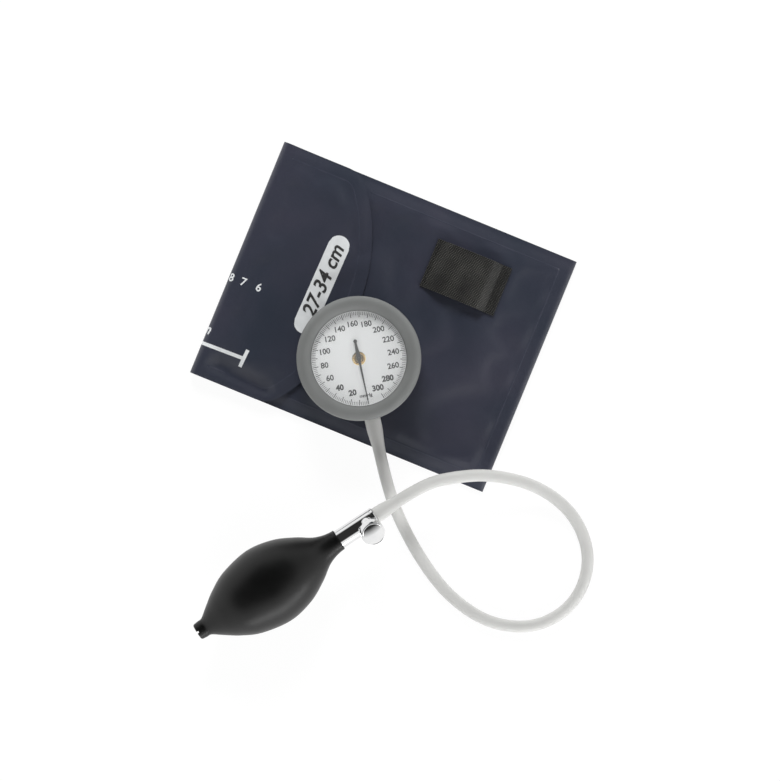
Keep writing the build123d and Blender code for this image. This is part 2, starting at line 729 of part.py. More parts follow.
def bottom_plate():
    """The plate that carries the rocker's two lugs and the lower pivots."""
    plate = hex_plate(PLATE_R, PLATE_Z) - pivot_holes(PLATE_Z, GEAR_Z)
    for y in (LUG_NEAR_Y, LUG_FAR_Y):
        x_low, x_high = ROCKER_X - LUG_W / 2, ROCKER_X + LUG_W / 2
        plate += block(x_low, x_high, y, y + LUG_T, ROCKER_Z - LUG_W / 2, PLATE_Z)
    rocker_hole = bore(ROCKER_BORE_R, 0, LUG_FAR_Y + LUG_T - LUG_NEAR_Y)
    plate -= Pos(ROCKER_X, LUG_NEAR_Y, ROCKER_Z) * Rot(-90, 0, 0) * rocker_hole
    throw = FINGER_THROW + FINGER_SIZE
    near, far = FINGER_Y - FINGER_SIZE / 2 - SLOT_GAP, FINGER_Y + FINGER_SIZE / 2 + SLOT_GAP
    return plate - block(
        FINGER_X - throw, FINGER_X + FINGER_SIZE + throw, near, far, PLATE_Z, GEAR_Z
    )


def bridge_plate():
    """The upper plate, with the post that holds the hairspring's outer end."""
    plate = hex_plate(BRIDGE_R, BRIDGE_Z) - pivot_holes(BRIDGE_Z, BRIDGE_Z + PLATE_T)
    end_x = COLLET_R + SPRING_STRIP / 2 + SPRING_TURNS * SPRING_PITCH
    half = SPRING_POST / 2
    return plate + block(end_x - half, end_x + half, 0, SPRING_POST, SPRING_Z, BRIDGE_Z)


def movement_pillars():
    """Three pillars that hold the plates apart."""
    return [Pos(x, y, 0) * hex_bar(PILLAR_R, GEAR_Z, BRIDGE_Z) for x, y in PILLARS]


def mounting_posts():
    """Three hexagonal posts from the case's floor to the bottom plate."""
    post = hex_bar(POST_R, CASE_FLOOR, PLATE_Z)
    return [on_circle(POST_CIRCLE_R, angle) * post for angle in POST_ANGLES]


def dial_plate():
    """The dial on its two feet over the bridge."""
    dial = bar(GAUGE_SIDES, DIAL_R, DIAL_Z, DIAL_TOP)
    dial -= fitting(EYELET_BORE_R, DIAL_Z, DIAL_TOP)
    foot = hex_bar(DIAL_FOOT_R, BRIDGE_Z + PLATE_T, DIAL_Z)
    for x in (-DIAL_FOOT_X, DIAL_FOOT_X):
        dial += Pos(x, DIAL_FOOT_Y, 0) * foot
    return dial


def dial_eyelet():
    """The brass ring round the dial's hole."""
    top = DIAL_TOP + EYELET_H
    return fitting(EYELET_R, DIAL_TOP, top) - fitting(EYELET_BORE_R, DIAL_TOP, top)


def pointer():
    """The hand: a thin needle with a diamond tip, and a tail that ends in a disc."""
    half, tip_half = POINTER_NECK, POINTER_TIP_WIDTH / 2
    barb = POINTER_TIP - POINTER_TIP_LENGTH
    needle = Polyline(
        (half, 0),
        (half / 2, -barb),
        (tip_half, -barb - POINTER_TIP_LENGTH / 3),
        (0, -POINTER_TIP),
        (-tip_half, -barb - POINTER_TIP_LENGTH / 3),
        (-half / 2, -barb),
        (-half, 0),
        close=True,
    )
    blob_y = POINTER_TAIL - POINTER_BLOB_R
    face = make_face(needle) + Pos(0, blob_y / 2) * Rectangle(POINTER_TAIL_WIDTH, blob_y)
    face += Pos(0, blob_y) * RegularPolygon(POINTER_BLOB_R, BORE_SIDES)
    face += RegularPolygon(HUB_R, FITTING_SIDES)
    hand = extrude(Pos(0, 0, POINTER_Z) * face, amount=POINTER_T)
    return hand - rod(ARBOR_R, POINTER_Z, POINTER_Z + POINTER_T)


def pointer_hub():
    """The boss under the hand, pressed on the arbor."""
    low = POINTER_Z - HUB_H
    return fitting(HUB_R, low, POINTER_Z) - rod(ARBOR_R, low, POINTER_Z)


save("capsule", GAUGE * capsule())
save("lifting_stud", GAUGE * lifting_stud())
save("rocker_shaft", GAUGE * rocker_shaft())
save("sector_gear", GAUGE * sector_gear())
save("sector_arbor", GAUGE * sector_arbor())
save("pointer_arbor", GAUGE * pointer_arbor())
save("hairspring", GAUGE * hairspring())
save("movement_bottom_plate", GAUGE * bottom_plate())
save("movement_bridge", GAUGE * bridge_plate())
save("movement_pillars", Compound(children=[GAUGE * piece for piece in movement_pillars()]))
save("mounting_posts", Compound(children=[GAUGE * piece for piece in mounting_posts()]))
save("dial_plate", GAUGE * dial_plate())
save("dial_eyelet", GAUGE * dial_eyelet())
save("pointer", GAUGE * pointer())
save("pointer_hub", GAUGE * pointer_hub())


# Bulb

def bulb_outline(thickness):
    """The bulb's belly as (radius, distance) points, a wall's thickness inside its skin."""
    return [(share_r * BULB_R - thickness, share * BULB_LENGTH) for share, share_r in BULB_BELLY]


def bulb():
    """The hand bulb: one moulded rubber shell with a neck and a notched tail."""
    neck_floor = BULB_LENGTH - NECK_SPIGOT_LENGTH
    shell = faceted(
        BULB_SIDES, (TAIL_END_R, 0), (TAIL_R, TAIL_LENGTH), *bulb_outline(0), (NECK_R, BULB_LENGTH)
    )
    room = [p for p in bulb_outline(BULB_WALL) if TAIL_BORE_DEPTH < p[1] < neck_floor]
    shell -= faceted(
        BULB_SIDES, (TAIL_BORE_R, TAIL_BORE_DEPTH), *room, (NECK_SPIGOT_R, neck_floor)
    )
    shell -= bore(TAIL_BORE_R, 0, TAIL_BORE_DEPTH)
    shell -= bore(NECK_SPIGOT_R, neck_floor, BULB_LENGTH)
    notch = block(0, TAIL_R, -TAIL_NOTCH / 2, TAIL_NOTCH / 2, 0, TAIL_NOTCH)
    for i in range(TAIL_NOTCHES):
        shell -= Rot(0, 0, i * 360 / TAIL_NOTCHES) * notch
    return shell


def inlet_valve_housing():
    """The metal valve body pressed into the bulb's tail."""
    low, high = INLET_RECESS, INLET_RECESS + INLET_LENGTH
    housing = bore(TAIL_BORE_R, low, high) - bore(INLET_HOLE_R, low, high)
    return housing - bore(INLET_CHAMBER_R, INLET_SEAT_TOP, high)


def inlet_valve_disc():
    """The disc that closes the inlet when the bulb is squeezed."""
    low = INLET_SEAT_TOP + DISC_GAP
    return bore(INLET_DISC_R, low, low + INLET_DISC_T)


def slotted_disc(radius, low, thickness):
    """A disc with a row of slots that let air through."""
    disc = bore(radius, low, low + thickness)
    for i in range(DISC_SLOTS):
        y = (i - (DISC_SLOTS - 1) / 2) * DISC_SLOT_PITCH
        half = DISC_SLOT_WIDTH / 2
        disc -= block(-DISC_SLOT_REACH, DISC_SLOT_REACH, y - half, y + half, low, low + thickness)
    return disc


save("bulb", TAIL * bulb())
save("inlet_valve_housing", TAIL * inlet_valve_housing())
save("inlet_valve_disc", TAIL * inlet_valve_disc())
save("inlet_guard", TAIL * slotted_disc(INLET_CHAMBER_R, INLET_RECESS + GUARD_AT, GUARD_T))


# Release valve

def valve_body():
    """The plated barrel: bulb spigot, outlet chamber, leaning branch and hose spigot."""
    spigot_end = BARREL_LENGTH + VALVE_SPIGOT_LENGTH
    body = bar(BARREL_SIDES, BARREL_R, 0, BARREL_LENGTH)
    body += bore(SPIGOT_R, BARREL_LENGTH, spigot_end)
    body += bore(NECK_SPIGOT_R, -NECK_SPIGOT_LENGTH, 0)
    shell = VALVE * body + BRANCH * rod(BRANCH_R, 0, BRANCH_TOP)
    shell -= VALVE * bore(AIRWAY_R, CHAMBER_END, spigot_end)
    shell -= VALVE * bore(CHAMBER_R, -NECK_SPIGOT_LENGTH, CHAMBER_END)
    shell -= BRANCH * bore(SEAT_HOLE_R, 0, SEAT_FLOOR)
    shell -= BRANCH * bore(BRANCH_BORE_R, SEAT_FLOOR, BRANCH_TOP)
    return shell - BRANCH * Pos(0, 0, VENT_AT) * Rot(0, 90, 0) * bore(VENT_R, 0, BARREL_R)


def valve_seat():
    """The brass seat pressed in the branch, countersunk for the needle."""
    top = SEAT_FLOOR + SEAT_H
    seat = bore(BRANCH_BORE_R, SEAT_FLOOR, top) - bore(SEAT_HOLE_R, SEAT_FLOOR, top)
    return seat - frustum(BORE_SIDES, (SEAT_HOLE_R, top - NEEDLE_CONE_H), (NEEDLE_R, top))


def needle_tip():
    """The swivelling tip that closes the seat."""
    top = SEAT_FLOOR + SEAT_H
    tip_r, side_r = SEAT_HOLE_R - NEEDLE_GAP, NEEDLE_R - NEEDLE_GAP
    cone = [(tip_r, top - NEEDLE_CONE_H), (side_r, top)]
    return faceted(BORE_SIDES, *cone, (side_r, NEEDLE_TOP))


def gland_nut():
    """The nut that holds the stem's seal in the branch."""
    top = BRANCH_TOP + GLAND_H
    nut = hex_bar(GLAND_R, BRANCH_TOP, top) + bore(BRANCH_BORE_R, STEM_RING_TOP, BRANCH_TOP)
    return nut - bore(STEM_BORE_R, STEM_RING_TOP, top)


def release_knob():
    """The round knob on the stem, with a short neck behind it."""
    base = KNOB_FACE - KNOB_T
    neck = BRANCH_TOP + GLAND_H + KNOB_GAP
    knob = bar(GAUGE_SIDES, KNOB_R, base, KNOB_FACE) + fitting(KNOB_NECK_R, neck, base)
    return knob - rod(STEM_R, neck, base + KNOB_T / 2)


def stem_seal_ring():
    """The ring in the branch that seals the turning stem."""
    packing = bore(BRANCH_BORE_R, STEM_RING_LOW, STEM_RING_TOP)
    return packing - bore(STEM_BORE_R, STEM_RING_LOW, STEM_RING_TOP)


def outlet_seat():
    """The seat that the outlet disc closes on."""
    seat = bore(CHAMBER_R, POPPET_SEAT_LOW, POPPET_SEAT_TOP)
    return seat - bore(POPPET_SEAT_R, POPPET_SEAT_LOW, POPPET_SEAT_TOP)


def outlet_poppet():
    """The light disc that stops air from flowing back into the bulb."""
    low = POPPET_SEAT_TOP + DISC_GAP
    return bore(POPPET_R, low, low + POPPET_T)


save("valve_body", valve_body())
save("valve_seat", BRANCH * valve_seat())
save("needle_tip", BRANCH * needle_tip())
save("stem_seal_ring", BRANCH * stem_seal_ring())
save("gland_nut", BRANCH * gland_nut())
save("release_stem", BRANCH * rod(STEM_R, NEEDLE_TOP, KNOB_FACE - KNOB_T / 2))
save("release_knob", BRANCH * release_knob())
save("outlet_seat", VALVE * outlet_seat())
save("outlet_poppet", VALVE * outlet_poppet())
save("filter_screen", VALVE * slotted_disc(CHAMBER_R, -NECK_SPIGOT_LENGTH, SCREEN_T))


# Hose

def sleeve(start, straight_end, spigot_end, end):
    """A hose end stretched over its spigot, about Z, tapering back to the hose's own size."""
    outer = faceted(HOSE_SIDES, (HOSE_END_R, start), (HOSE_END_R, straight_end), (HOSE_R, end))
    return outer - bore(SPIGOT_R, start, spigot_end) - bore(AIRWAY_R, spigot_end, end)


def gauge_sleeve():
    """The hose's end on the gauge's spigot."""
    return sleeve(GAUGE_SLEEVE_START, SPIGOT_REACH, SPIGOT_REACH, GAUGE_SLEEVE_END)


def valve_sleeve():
    """The hose's end on the valve's spigot."""
    spigot_end = BARREL_LENGTH + VALVE_SPIGOT_LENGTH
    straight_end = BARREL_LENGTH + VALVE_SLEEVE_STRAIGHT
    return sleeve(BARREL_LENGTH, straight_end, spigot_end, VALVE_SLEEVE_END)


def spot(place, along):
    """The world point at a distance along a place's own Z axis."""
    return tuple((place * Pos(0, 0, along)).position)


HOSE_ROUTE = [
    spot(GAUGE * TO_SPIGOT, GAUGE_SLEEVE_END),
    spot(GAUGE * TO_SPIGOT, GAUGE_SLEEVE_END + GAUGE_LEAD),
    (52.7, -104.9, HOSE_R),
    (75.0, -123.0, HOSE_R),
    (98.0, -136.0, HOSE_R),
    (125.0, -141.2, HOSE_R),
    (151.0, -132.6, HOSE_R),
    (166.2, -110.8, HOSE_R),
    (164.6, -84.2, HOSE_R),
    (146.6, -63.8, HOSE_R),
    (119.5, -56.0, 10.0),
    (91.5, -60.4, 17.5),
    (73.0, -69.4, 21.0),
    spot(VALVE, VALVE_SLEEVE_END + VALVE_LEAD),
    spot(VALVE, VALVE_SLEEVE_END),
]


def route_radii(route):
    """The largest arc at each corner that its two runs allow."""
    points = [Vector(*p) for p in route]
    radii = []
    for before, here, after in zip(points, points[1:], points[2:]):
        run_in, run_out = here - before, after - here
        half_turn = math.radians(run_in.get_angle(run_out)) / 2
        radii.append(ARC_SHARE * min(run_in.length, run_out.length) / math.tan(half_turn))
    return radii


def hose():
    """The free hose from sleeve to sleeve, along straight runs and tangent arcs."""
    radii = route_radii(HOSE_ROUTE)
    path = FilletPolyline(*HOSE_ROUTE, radius=radii)
    section = Plane(path @ 0, z_dir=path % 0) * RegularPolygon(HOSE_R, HOSE_SIDES)
    tube = sweep(section, path=path)
    expected = section.area * path.length
    print("hose radii", [round(r, 1) for r in radii])
    print("hose length", round(path.length, 1), "volume share", round(tube.volume / expected, 5))
    return tube


save("hose", hose())
save("hose_gauge_end", GAUGE * TO_SPIGOT * gauge_sleeve())
save("hose_valve_end", VALVE * valve_sleeve())
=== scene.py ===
# %% [markdown]
# A hand-held blood pressure set lies folded on a table: a navy arm cuff with its flap closed, a
# round gauge in a grey rubber bumper plugged into the cuff, a pale hose in one open loop, and a
# black hand bulb with a plated release valve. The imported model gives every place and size, so it
# is loaded first and never moved. Each piece below is dressed around it.

# %% Load the frame
import json
import math

import bpy
from mathutils import Matrix, Vector, noise

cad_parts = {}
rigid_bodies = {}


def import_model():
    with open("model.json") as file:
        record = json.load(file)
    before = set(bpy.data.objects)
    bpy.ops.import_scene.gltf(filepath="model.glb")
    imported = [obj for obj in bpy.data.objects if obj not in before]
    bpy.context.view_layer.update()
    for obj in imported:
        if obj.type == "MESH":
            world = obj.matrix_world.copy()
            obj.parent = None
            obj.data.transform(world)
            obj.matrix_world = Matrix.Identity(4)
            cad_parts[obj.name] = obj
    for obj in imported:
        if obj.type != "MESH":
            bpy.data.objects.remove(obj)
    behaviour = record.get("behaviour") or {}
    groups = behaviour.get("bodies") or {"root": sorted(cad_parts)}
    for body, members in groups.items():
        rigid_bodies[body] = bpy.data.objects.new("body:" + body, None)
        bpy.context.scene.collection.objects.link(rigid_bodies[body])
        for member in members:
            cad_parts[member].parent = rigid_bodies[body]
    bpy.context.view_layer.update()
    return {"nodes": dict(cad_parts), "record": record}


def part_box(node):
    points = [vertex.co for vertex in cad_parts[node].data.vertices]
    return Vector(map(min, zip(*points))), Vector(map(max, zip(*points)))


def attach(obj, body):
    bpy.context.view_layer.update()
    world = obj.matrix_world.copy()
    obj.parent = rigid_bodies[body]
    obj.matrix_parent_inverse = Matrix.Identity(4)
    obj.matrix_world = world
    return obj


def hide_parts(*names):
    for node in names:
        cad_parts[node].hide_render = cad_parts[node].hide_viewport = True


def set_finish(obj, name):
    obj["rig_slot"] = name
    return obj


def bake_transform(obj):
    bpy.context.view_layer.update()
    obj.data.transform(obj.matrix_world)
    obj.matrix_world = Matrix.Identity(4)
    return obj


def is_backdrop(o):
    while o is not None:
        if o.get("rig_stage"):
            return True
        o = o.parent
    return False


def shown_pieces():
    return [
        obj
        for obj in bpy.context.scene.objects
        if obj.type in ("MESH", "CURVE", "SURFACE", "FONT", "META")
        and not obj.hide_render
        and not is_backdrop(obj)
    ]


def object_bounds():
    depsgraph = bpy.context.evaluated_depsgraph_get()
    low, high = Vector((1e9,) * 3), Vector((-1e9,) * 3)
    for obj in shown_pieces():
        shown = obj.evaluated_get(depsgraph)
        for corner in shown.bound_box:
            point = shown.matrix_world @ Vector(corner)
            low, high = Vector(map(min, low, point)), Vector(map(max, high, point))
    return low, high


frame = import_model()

MM = 0.001
nodes = frame["nodes"]

# %% [markdown]
# The photograph looks straight down from far away, which keeps round things round. The camera
# stands 1.6 m above the table with a long lens, turned so that the cuff lies at the same slant.
# Its lens follows from the width of table that the picture shows.

# %% Camera
PICTURE_HEIGHT_PX = 781
TABLE_MM_PER_PX = 0.58
CAMERA_HEIGHT = 1.6
CAMERA_PLACE = (0.0196, -0.0379, CAMERA_HEIGHT)
CAMERA_TURN = math.radians(22.3)
SENSOR = 36.0

bpy.ops.object.camera_add(location=CAMERA_PLACE, rotation=(0, 0, CAMERA_TURN))
camera = bpy.context.object
camera.name = "camera"
camera.data.sensor_width = SENSOR
camera.data.lens = SENSOR * CAMERA_HEIGHT / (PICTURE_HEIGHT_PX * TABLE_MM_PER_PX * MM)
camera.data.clip_end = 10
bpy.context.scene.camera = camera
bpy.context.scene.view_settings.view_transform = "Standard"
print("lens", round(camera.data.lens, 1), "mm")

# %% [markdown]
# Two frames are used again and again. The gauge's frame has Z up through the dial, and the hose
# leaves it along minus Y. The valve's frame has Z along the bulb's axis towards the hose and X up,
# and the branch frame points its Z along the leaning release screw. They repeat the places that
# the model was built with.

# %% Frames of the gauge and the valve
PORT_X, PORT_Y = -3.6, -27.8
HOSE_EXIT_ANGLE = math.radians(-55.4)
SPIGOT_HEIGHT = 0.0134
BULB_LENGTH = 96.5
BULB_R = 23.7
BULB_ANGLE = math.radians(55.5)
VALVE_PLACE = (0.02495, -0.12785, BULB_R * MM)
BRANCH_START = 0.019
BRANCH_LEAN = math.radians(21)
QUARTER = math.pi / 2

GAUGE = Matrix.Translation((PORT_X * MM, PORT_Y * MM, 0)) @ Matrix.Rotation(
    HOSE_EXIT_ANGLE + QUARTER, 4, "Z"
)
along_bulb = Vector((math.cos(BULB_ANGLE), math.sin(BULB_ANGLE), 0))
across_bulb = along_bulb.cross(Vector((0, 0, 1)))
VALVE = Matrix.Translation(VALVE_PLACE) @ Matrix(
    ((0, across_bulb.x, along_bulb.x), (0, across_bulb.y, along_bulb.y), (1, 0, 0))
).to_4x4()
BRANCH = (
    VALVE
    @ Matrix.Translation((0, 0, BRANCH_START))
    @ Matrix.Rotation(BRANCH_LEAN, 4, "Z")
    @ Matrix.Rotation(QUARTER, 4, "Y")
)
TAIL = VALVE @ Matrix.Translation((0, 0, -BULB_LENGTH * MM))
SPIGOT = GAUGE @ Matrix.Translation((0, 0, SPIGOT_HEIGHT)) @ Matrix.Rotation(QUARTER, 4, "X")
print("knob's direction", tuple(round(c, 3) for c in BRANCH.col[2][:3]))

# %% [markdown]
# The hose is a plain rubber tube, 7 mm thick. It leaves the gauge's spigot level, drops to the
# table, lies there in one wide loop, and climbs in a long low hump over its own start to the
# valve. A curve with a round bevel is the right tool, because its control points are the route.
# The points carry the tube's radius, so that the curve's own box has the hose's size.

# %% Hose
HOSE_R = 3.5
HOSE_ROUTE = [
    (0.02706, -0.07225, 0.0134),
    (0.03728, -0.08707, 0.0134),
    (0.0527, -0.1049, 0.0035),
    (0.075, -0.123, 0.0035),
    (0.098, -0.136, 0.0035),
    (0.125, -0.1412, 0.0035),
    (0.151, -0.1326, 0.0035),
    (0.1662, -0.1108, 0.0035),
    (0.1646, -0.0842, 0.0035),
    (0.1466, -0.0638, 0.0035),
    (0.1195, -0.056, 0.01),
    (0.0915, -0.0604, 0.0175),
    (0.073, -0.0694, 0.021),
    (0.0578, -0.08005, 0.0237),
    (0.04704, -0.09571, 0.0237),
]

hose_curve = bpy.data.curves.new("hose_tube", "CURVE")
hose_curve.dimensions = "3D"
hose_curve.resolution_u = 12
hose_curve.bevel_depth = 1.0
hose_curve.bevel_resolution = 8
hose_line = hose_curve.splines.new("NURBS")
hose_line.points.add(len(HOSE_ROUTE) - 1)
for control, place in zip(hose_line.points, HOSE_ROUTE):
    control.co = (*place, 1)
    control.radius = HOSE_R * MM
hose_line.order_u = 3
hose_line.use_endpoint_u = True
hose_tube = bpy.data.objects.new("hose_tube", hose_curve)
bpy.context.scene.collection.objects.link(hose_tube)
print("hose:", len(HOSE_ROUTE), "control points")

# %% [markdown]
# Every new piece starts from one of Blender's primitives. Operators act on all that is selected,
# and loading leaves the model's own pieces selected, so everything is deselected first. Many
# pieces are then finished by a modifier, which is applied at once, so that what is seen is the
# mesh itself.

# %% Starting shapes and modifiers


def select_only(piece):
    """Make one object the selected and active one."""
    bpy.ops.object.select_all(action="DESELECT")
    piece.select_set(True)
    bpy.context.view_layer.objects.active = piece


def flat_grid(columns, rows):
    """A flat grid, one unit each way about the origin, whose points are then put in place."""
    bpy.ops.object.select_all(action="DESELECT")
    bpy.ops.mesh.primitive_grid_add(x_subdivisions=columns, y_subdivisions=rows, size=1)
    return bpy.context.object


def unit_cube():
    """A cube, one unit each way about the origin, which is then stretched or shaped."""
    bpy.ops.object.select_all(action="DESELECT")
    bpy.ops.mesh.primitive_cube_add(size=1)
    return bpy.context.object


def modify(piece, kind, **settings):
    """Add a modifier with its settings and apply it."""
    select_only(piece)
    step = piece.modifiers.new(kind.lower(), kind)
    for setting, value in settings.items():
        setattr(step, setting, value)
    bpy.ops.object.modifier_apply(modifier=step.name)


print("starting shapes: a flat grid and a cube")

# %% [markdown]
# Most hard pieces here were turned on a lathe or moulded round, so one helper turns them: it adds
# a circle, extrudes it from station to station of a half outline and scales each new ring. A
# radius of zero closes a pole. Doubles are merged, the normals are made to point outwards, and
# the piece is put in its frame with its place in its mesh.

# %% Turning tool
POLE = 0.0005


def settle(piece, name, place=Matrix.Identity(4), sharp=30):
    """Name a piece, merge its doubles, turn its faces outwards and apply its place."""
    select_only(piece)
    bpy.ops.object.mode_set(mode="EDIT")
    bpy.ops.mesh.select_all(action="SELECT")
    bpy.ops.mesh.remove_doubles(threshold=2e-6)
    bpy.ops.mesh.normals_make_consistent(inside=False)
    bpy.ops.object.mode_set(mode="OBJECT")
    piece.matrix_world = place @ piece.matrix_world
    bpy.ops.object.transform_apply(location=True, rotation=True, scale=True)
    bpy.ops.object.shade_smooth_by_angle(angle=math.radians(sharp))
    piece.name = piece.data.name = name
    return piece


def turned(name, outline, place, segments=96, sharp=30):
    """Turn a closed half outline of (radius, height) in millimetres about the frame's Z."""
    bpy.ops.object.select_all(action="DESELECT")
    stations = [(max(r, POLE), z) for r, z in outline]
    last_r, last_z = stations[0]
    bpy.ops.mesh.primitive_circle_add(
        vertices=segments, radius=last_r * MM, location=(0, 0, last_z * MM)
    )
    piece = bpy.context.object
    bpy.ops.object.mode_set(mode="EDIT")
    bpy.ops.mesh.select_all(action="SELECT")
    for r, z in stations[1:]:
        bpy.ops.mesh.extrude_edges_move(
            TRANSFORM_OT_translate={"value": (0, 0, (z - last_z) * MM)}
        )
        grow = r / last_r
        bpy.ops.transform.resize(value=(grow, grow, 1), center_override=(0, 0, z * MM))
        last_r, last_z = r, z
    bpy.ops.object.mode_set(mode="OBJECT")
    return settle(piece, name, place, sharp)


def bend(centre_r, centre_z, radius, start, stop, steps=6):
    """Stations round a corner of an outline, from one angle to another in degrees."""
    spots = []
    for i in range(steps + 1):
        turn = math.radians(start + (stop - start) * i / steps)
        spots.append((centre_r + radius * math.cos(turn), centre_z + radius * math.sin(turn)))
    return spots


print("turning tool ready")

# %% [markdown]
# Many heights come from the model itself. Two helpers read the top and the foot of a node's box,
# so that each new piece stands just where its solid does.

# %% Heights from the model


def top_of(node):
    """The height of a node's top in millimetres."""
    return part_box(node)[1].z / MM


def foot_of(node):
    """The height of a node's foot in millimetres."""
    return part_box(node)[0].z / MM


print("gauge from", round(foot_of("bumper"), 1), "to", round(top_of("bumper"), 1), "mm")

# %% [markdown]
# The bumper is a soft grey ring stretched over the metal case. Its outside rises straight and
# rolls over a rounded crest, and from there a steep well runs down to the lens and ends in a thin
# lip inside the bezel. It is turned from an outline with real round corners, because its soft
# shading comes from them.

# %% Bumper
BUMPER_R = 35.4
CREST_R = 31.4
CASE_R = 29.0
WINDOW_R = 27.1
bumper_foot, bumper_top = foot_of("bumper"), top_of("bumper")
bezel_top, lens_top = top_of("bezel_ring"), top_of("lens")
ROLL = BUMPER_R - CREST_R
bumper = turned(
    "bumper_rubber",
    [
        (CASE_R, bumper_foot),
        *bend(BUMPER_R - 1.2, bumper_foot + 1.2, 1.2, -90, 0, 4),
        (BUMPER_R, bumper_top - ROLL - 6),
        *bend(CREST_R, bumper_top - ROLL, ROLL, 0, 96, 14),
        (WINDOW_R + 2.9, bumper_top - 0.3),
        (WINDOW_R + 1.8, bumper_top - 0.9),
        (WINDOW_R + 0.95, bumper_top - 1.8),
        (WINDOW_R + 0.3, bezel_top + 0.1),
        (WINDOW_R - 0.05, bezel_top - 0.15),
        (WINDOW_R - 0.15, lens_top + 0.15),
        (WINDOW_R - 0.15, lens_top + 0.05),
        (WINDOW_R - 0.03, lens_top + 0.05),
        (WINDOW_R - 0.03, bezel_top),
        (CASE_R, bezel_top),
        (CASE_R, bumper_foot),
    ],
    GAUGE,
    segments=144,
)
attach(bumper, "hand_set")
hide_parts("bumper")
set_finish(bumper, "bumper")
print("bumper:", len(bumper.data.polygons), "faces")

# %% [markdown]
# Each end of the hose is stretched over a metal spigot. It is thicker there, is cut square, and
# draws in to the hose's own thickness over a centimetre or two.

# %% Hose ends
HOSE_END_R = 4.6
SPIGOT_R = 2.6
LIP_R = 0.35
TUCK = 0.6


def hose_end(name, place, start, straight, end):
    """A hose end over its spigot, cut square with a slightly rounded lip."""
    shoulder = (end - straight) / 3
    return turned(
        name,
        [
            (SPIGOT_R, start),
            *bend(HOSE_END_R - LIP_R, start + LIP_R, LIP_R, -90, 0, 4),
            (HOSE_END_R, straight),
            (HOSE_END_R - 0.12, straight + shoulder * 0.6),
            (HOSE_R + 0.5, straight + shoulder * 1.6),
            (HOSE_R + 0.12, end - shoulder * 0.5),
            (HOSE_R + 0.01, end + TUCK),
            (SPIGOT_R, end + TUCK),
            (SPIGOT_R, start),
        ],
        place,
        segments=64,
        sharp=50,
    )


gauge_end = hose_end("hose_end_gauge", SPIGOT, 14.0, 40.0, 54.0)
valve_end = hose_end("hose_end_valve", VALVE, 25.0, 29.0, 39.0)
for piece, node in ((gauge_end, "hose_gauge_end"), (valve_end, "hose_valve_end")):
    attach(piece, "hand_set")
    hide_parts(node)
    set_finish(piece, "hose")
print("hose ends:", len(gauge_end.data.polygons), "and", len(valve_end.data.polygons), "faces")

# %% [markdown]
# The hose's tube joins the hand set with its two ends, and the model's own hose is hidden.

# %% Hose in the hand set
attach(hose_tube, "hand_set")
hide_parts("hose")
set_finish(hose_tube, "hose")
print("hose ends at", [round(c, 4) for c in HOSE_ROUTE[0]], "and", HOSE_ROUTE[-1])

# %% [markdown]
# A rubber skin or a bent strap shows every corner of its outline as a band. So a few measured
# stations are joined by a smooth curve first. This one passes through every station, and the bulb,
# the strap and the pointer are all drawn with it.

# %% Smooth lines


def smooth(stations, steps):
    """A smooth line through stations: a Catmull-Rom spline with a few steps in each run."""
    first, last = stations[0], stations[-1]
    padded = [first, *stations, last]
    line = []
    for a, b, c, d in zip(padded, padded[1:], padded[2:], padded[3:]):
        for i in range(steps):
            t = i / steps
            line.append(
                tuple(
                    0.5
                    * (
                        2 * q
                        + (r - p) * t
                        + (2 * p - 5 * q + 4 * r - s) * t * t
                        + (3 * q - p - 3 * r + s) * t**3
                    )
                    for p, q, r, s in zip(a, b, c, d)
                )
            )
    return [*line, last]


print("three stations become", len(smooth([(0, 0), (1, 1), (2, 0)], 4)), "points")

# %% [markdown]
# The bulb is moulded in one piece: a belly that swells smoothly from a short notched tail, and a
# neck that hugs the valve. It is turned from the smooth line, with a bore at each end for the
# inlet valve and for the barrel.

# %% Bulb
TAIL_BORE = 11.0
TAIL_BORE_R = 3.5
NECK_FLOOR = 80.5
NECK_BORE_R = 4.0
BULB_STATIONS = [
    (4.9, 0.6),
    (5.2, 3.4),
    (5.6, 6.2),
    (9.8, 12.0),
    (15.3, 20.0),
    (20.6, 31.0),
    (23.7, 48.5),
    (20.9, 64.0),
    (15.0, 76.0),
    (9.6, 84.0),
    (7.3, 89.5),
    (6.4, 94.0),
    (6.3, 96.2),
]
bulb = turned(
    "bulb_rubber",
    [
        (0, TAIL_BORE),
        (TAIL_BORE_R, TAIL_BORE),
        (TAIL_BORE_R, 0.5),
        (3.9, 0.0),
        (4.5, 0.0),
        *smooth(BULB_STATIONS, 6),
        (6.1, BULB_LENGTH),
        (5.6, BULB_LENGTH),
        (NECK_BORE_R, 96.4),
        (NECK_BORE_R, NECK_FLOOR),
        (0, NECK_FLOOR),
    ],
    TAIL,
    segments=112,
    sharp=40,
)
print("bulb:", len(bulb.data.polygons), "faces")

# %% [markdown]
# The bulb's tail has four notches across its rim, so that a finger or the table can't close the
# inlet. Four small blocks are cut out of it by a boolean, one after the other.

# %% Notches in the bulb's tail
NOTCHES = 4
NOTCH_OUT = 4.5
NOTCH_SIZE = (4, 1.2, 2.4)
for i in range(NOTCHES):
    notch = unit_cube()
    notch.matrix_world = (
        TAIL
        @ Matrix.Rotation(math.tau * i / NOTCHES, 4, "Z")
        @ Matrix.Translation((NOTCH_OUT * MM, 0, 0))
        @ Matrix.Diagonal((*(side * MM for side in NOTCH_SIZE), 1))
    )
    modify(bulb, "BOOLEAN", operation="DIFFERENCE", solver="EXACT", object=notch)
    bpy.data.objects.remove(notch)
bpy.ops.object.shade_smooth_by_angle(angle=math.radians(40))
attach(bulb, "hand_set")
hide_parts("bulb")
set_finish(bulb, "bulb")
print("bulb with notches:", len(bulb.data.polygons), "faces")

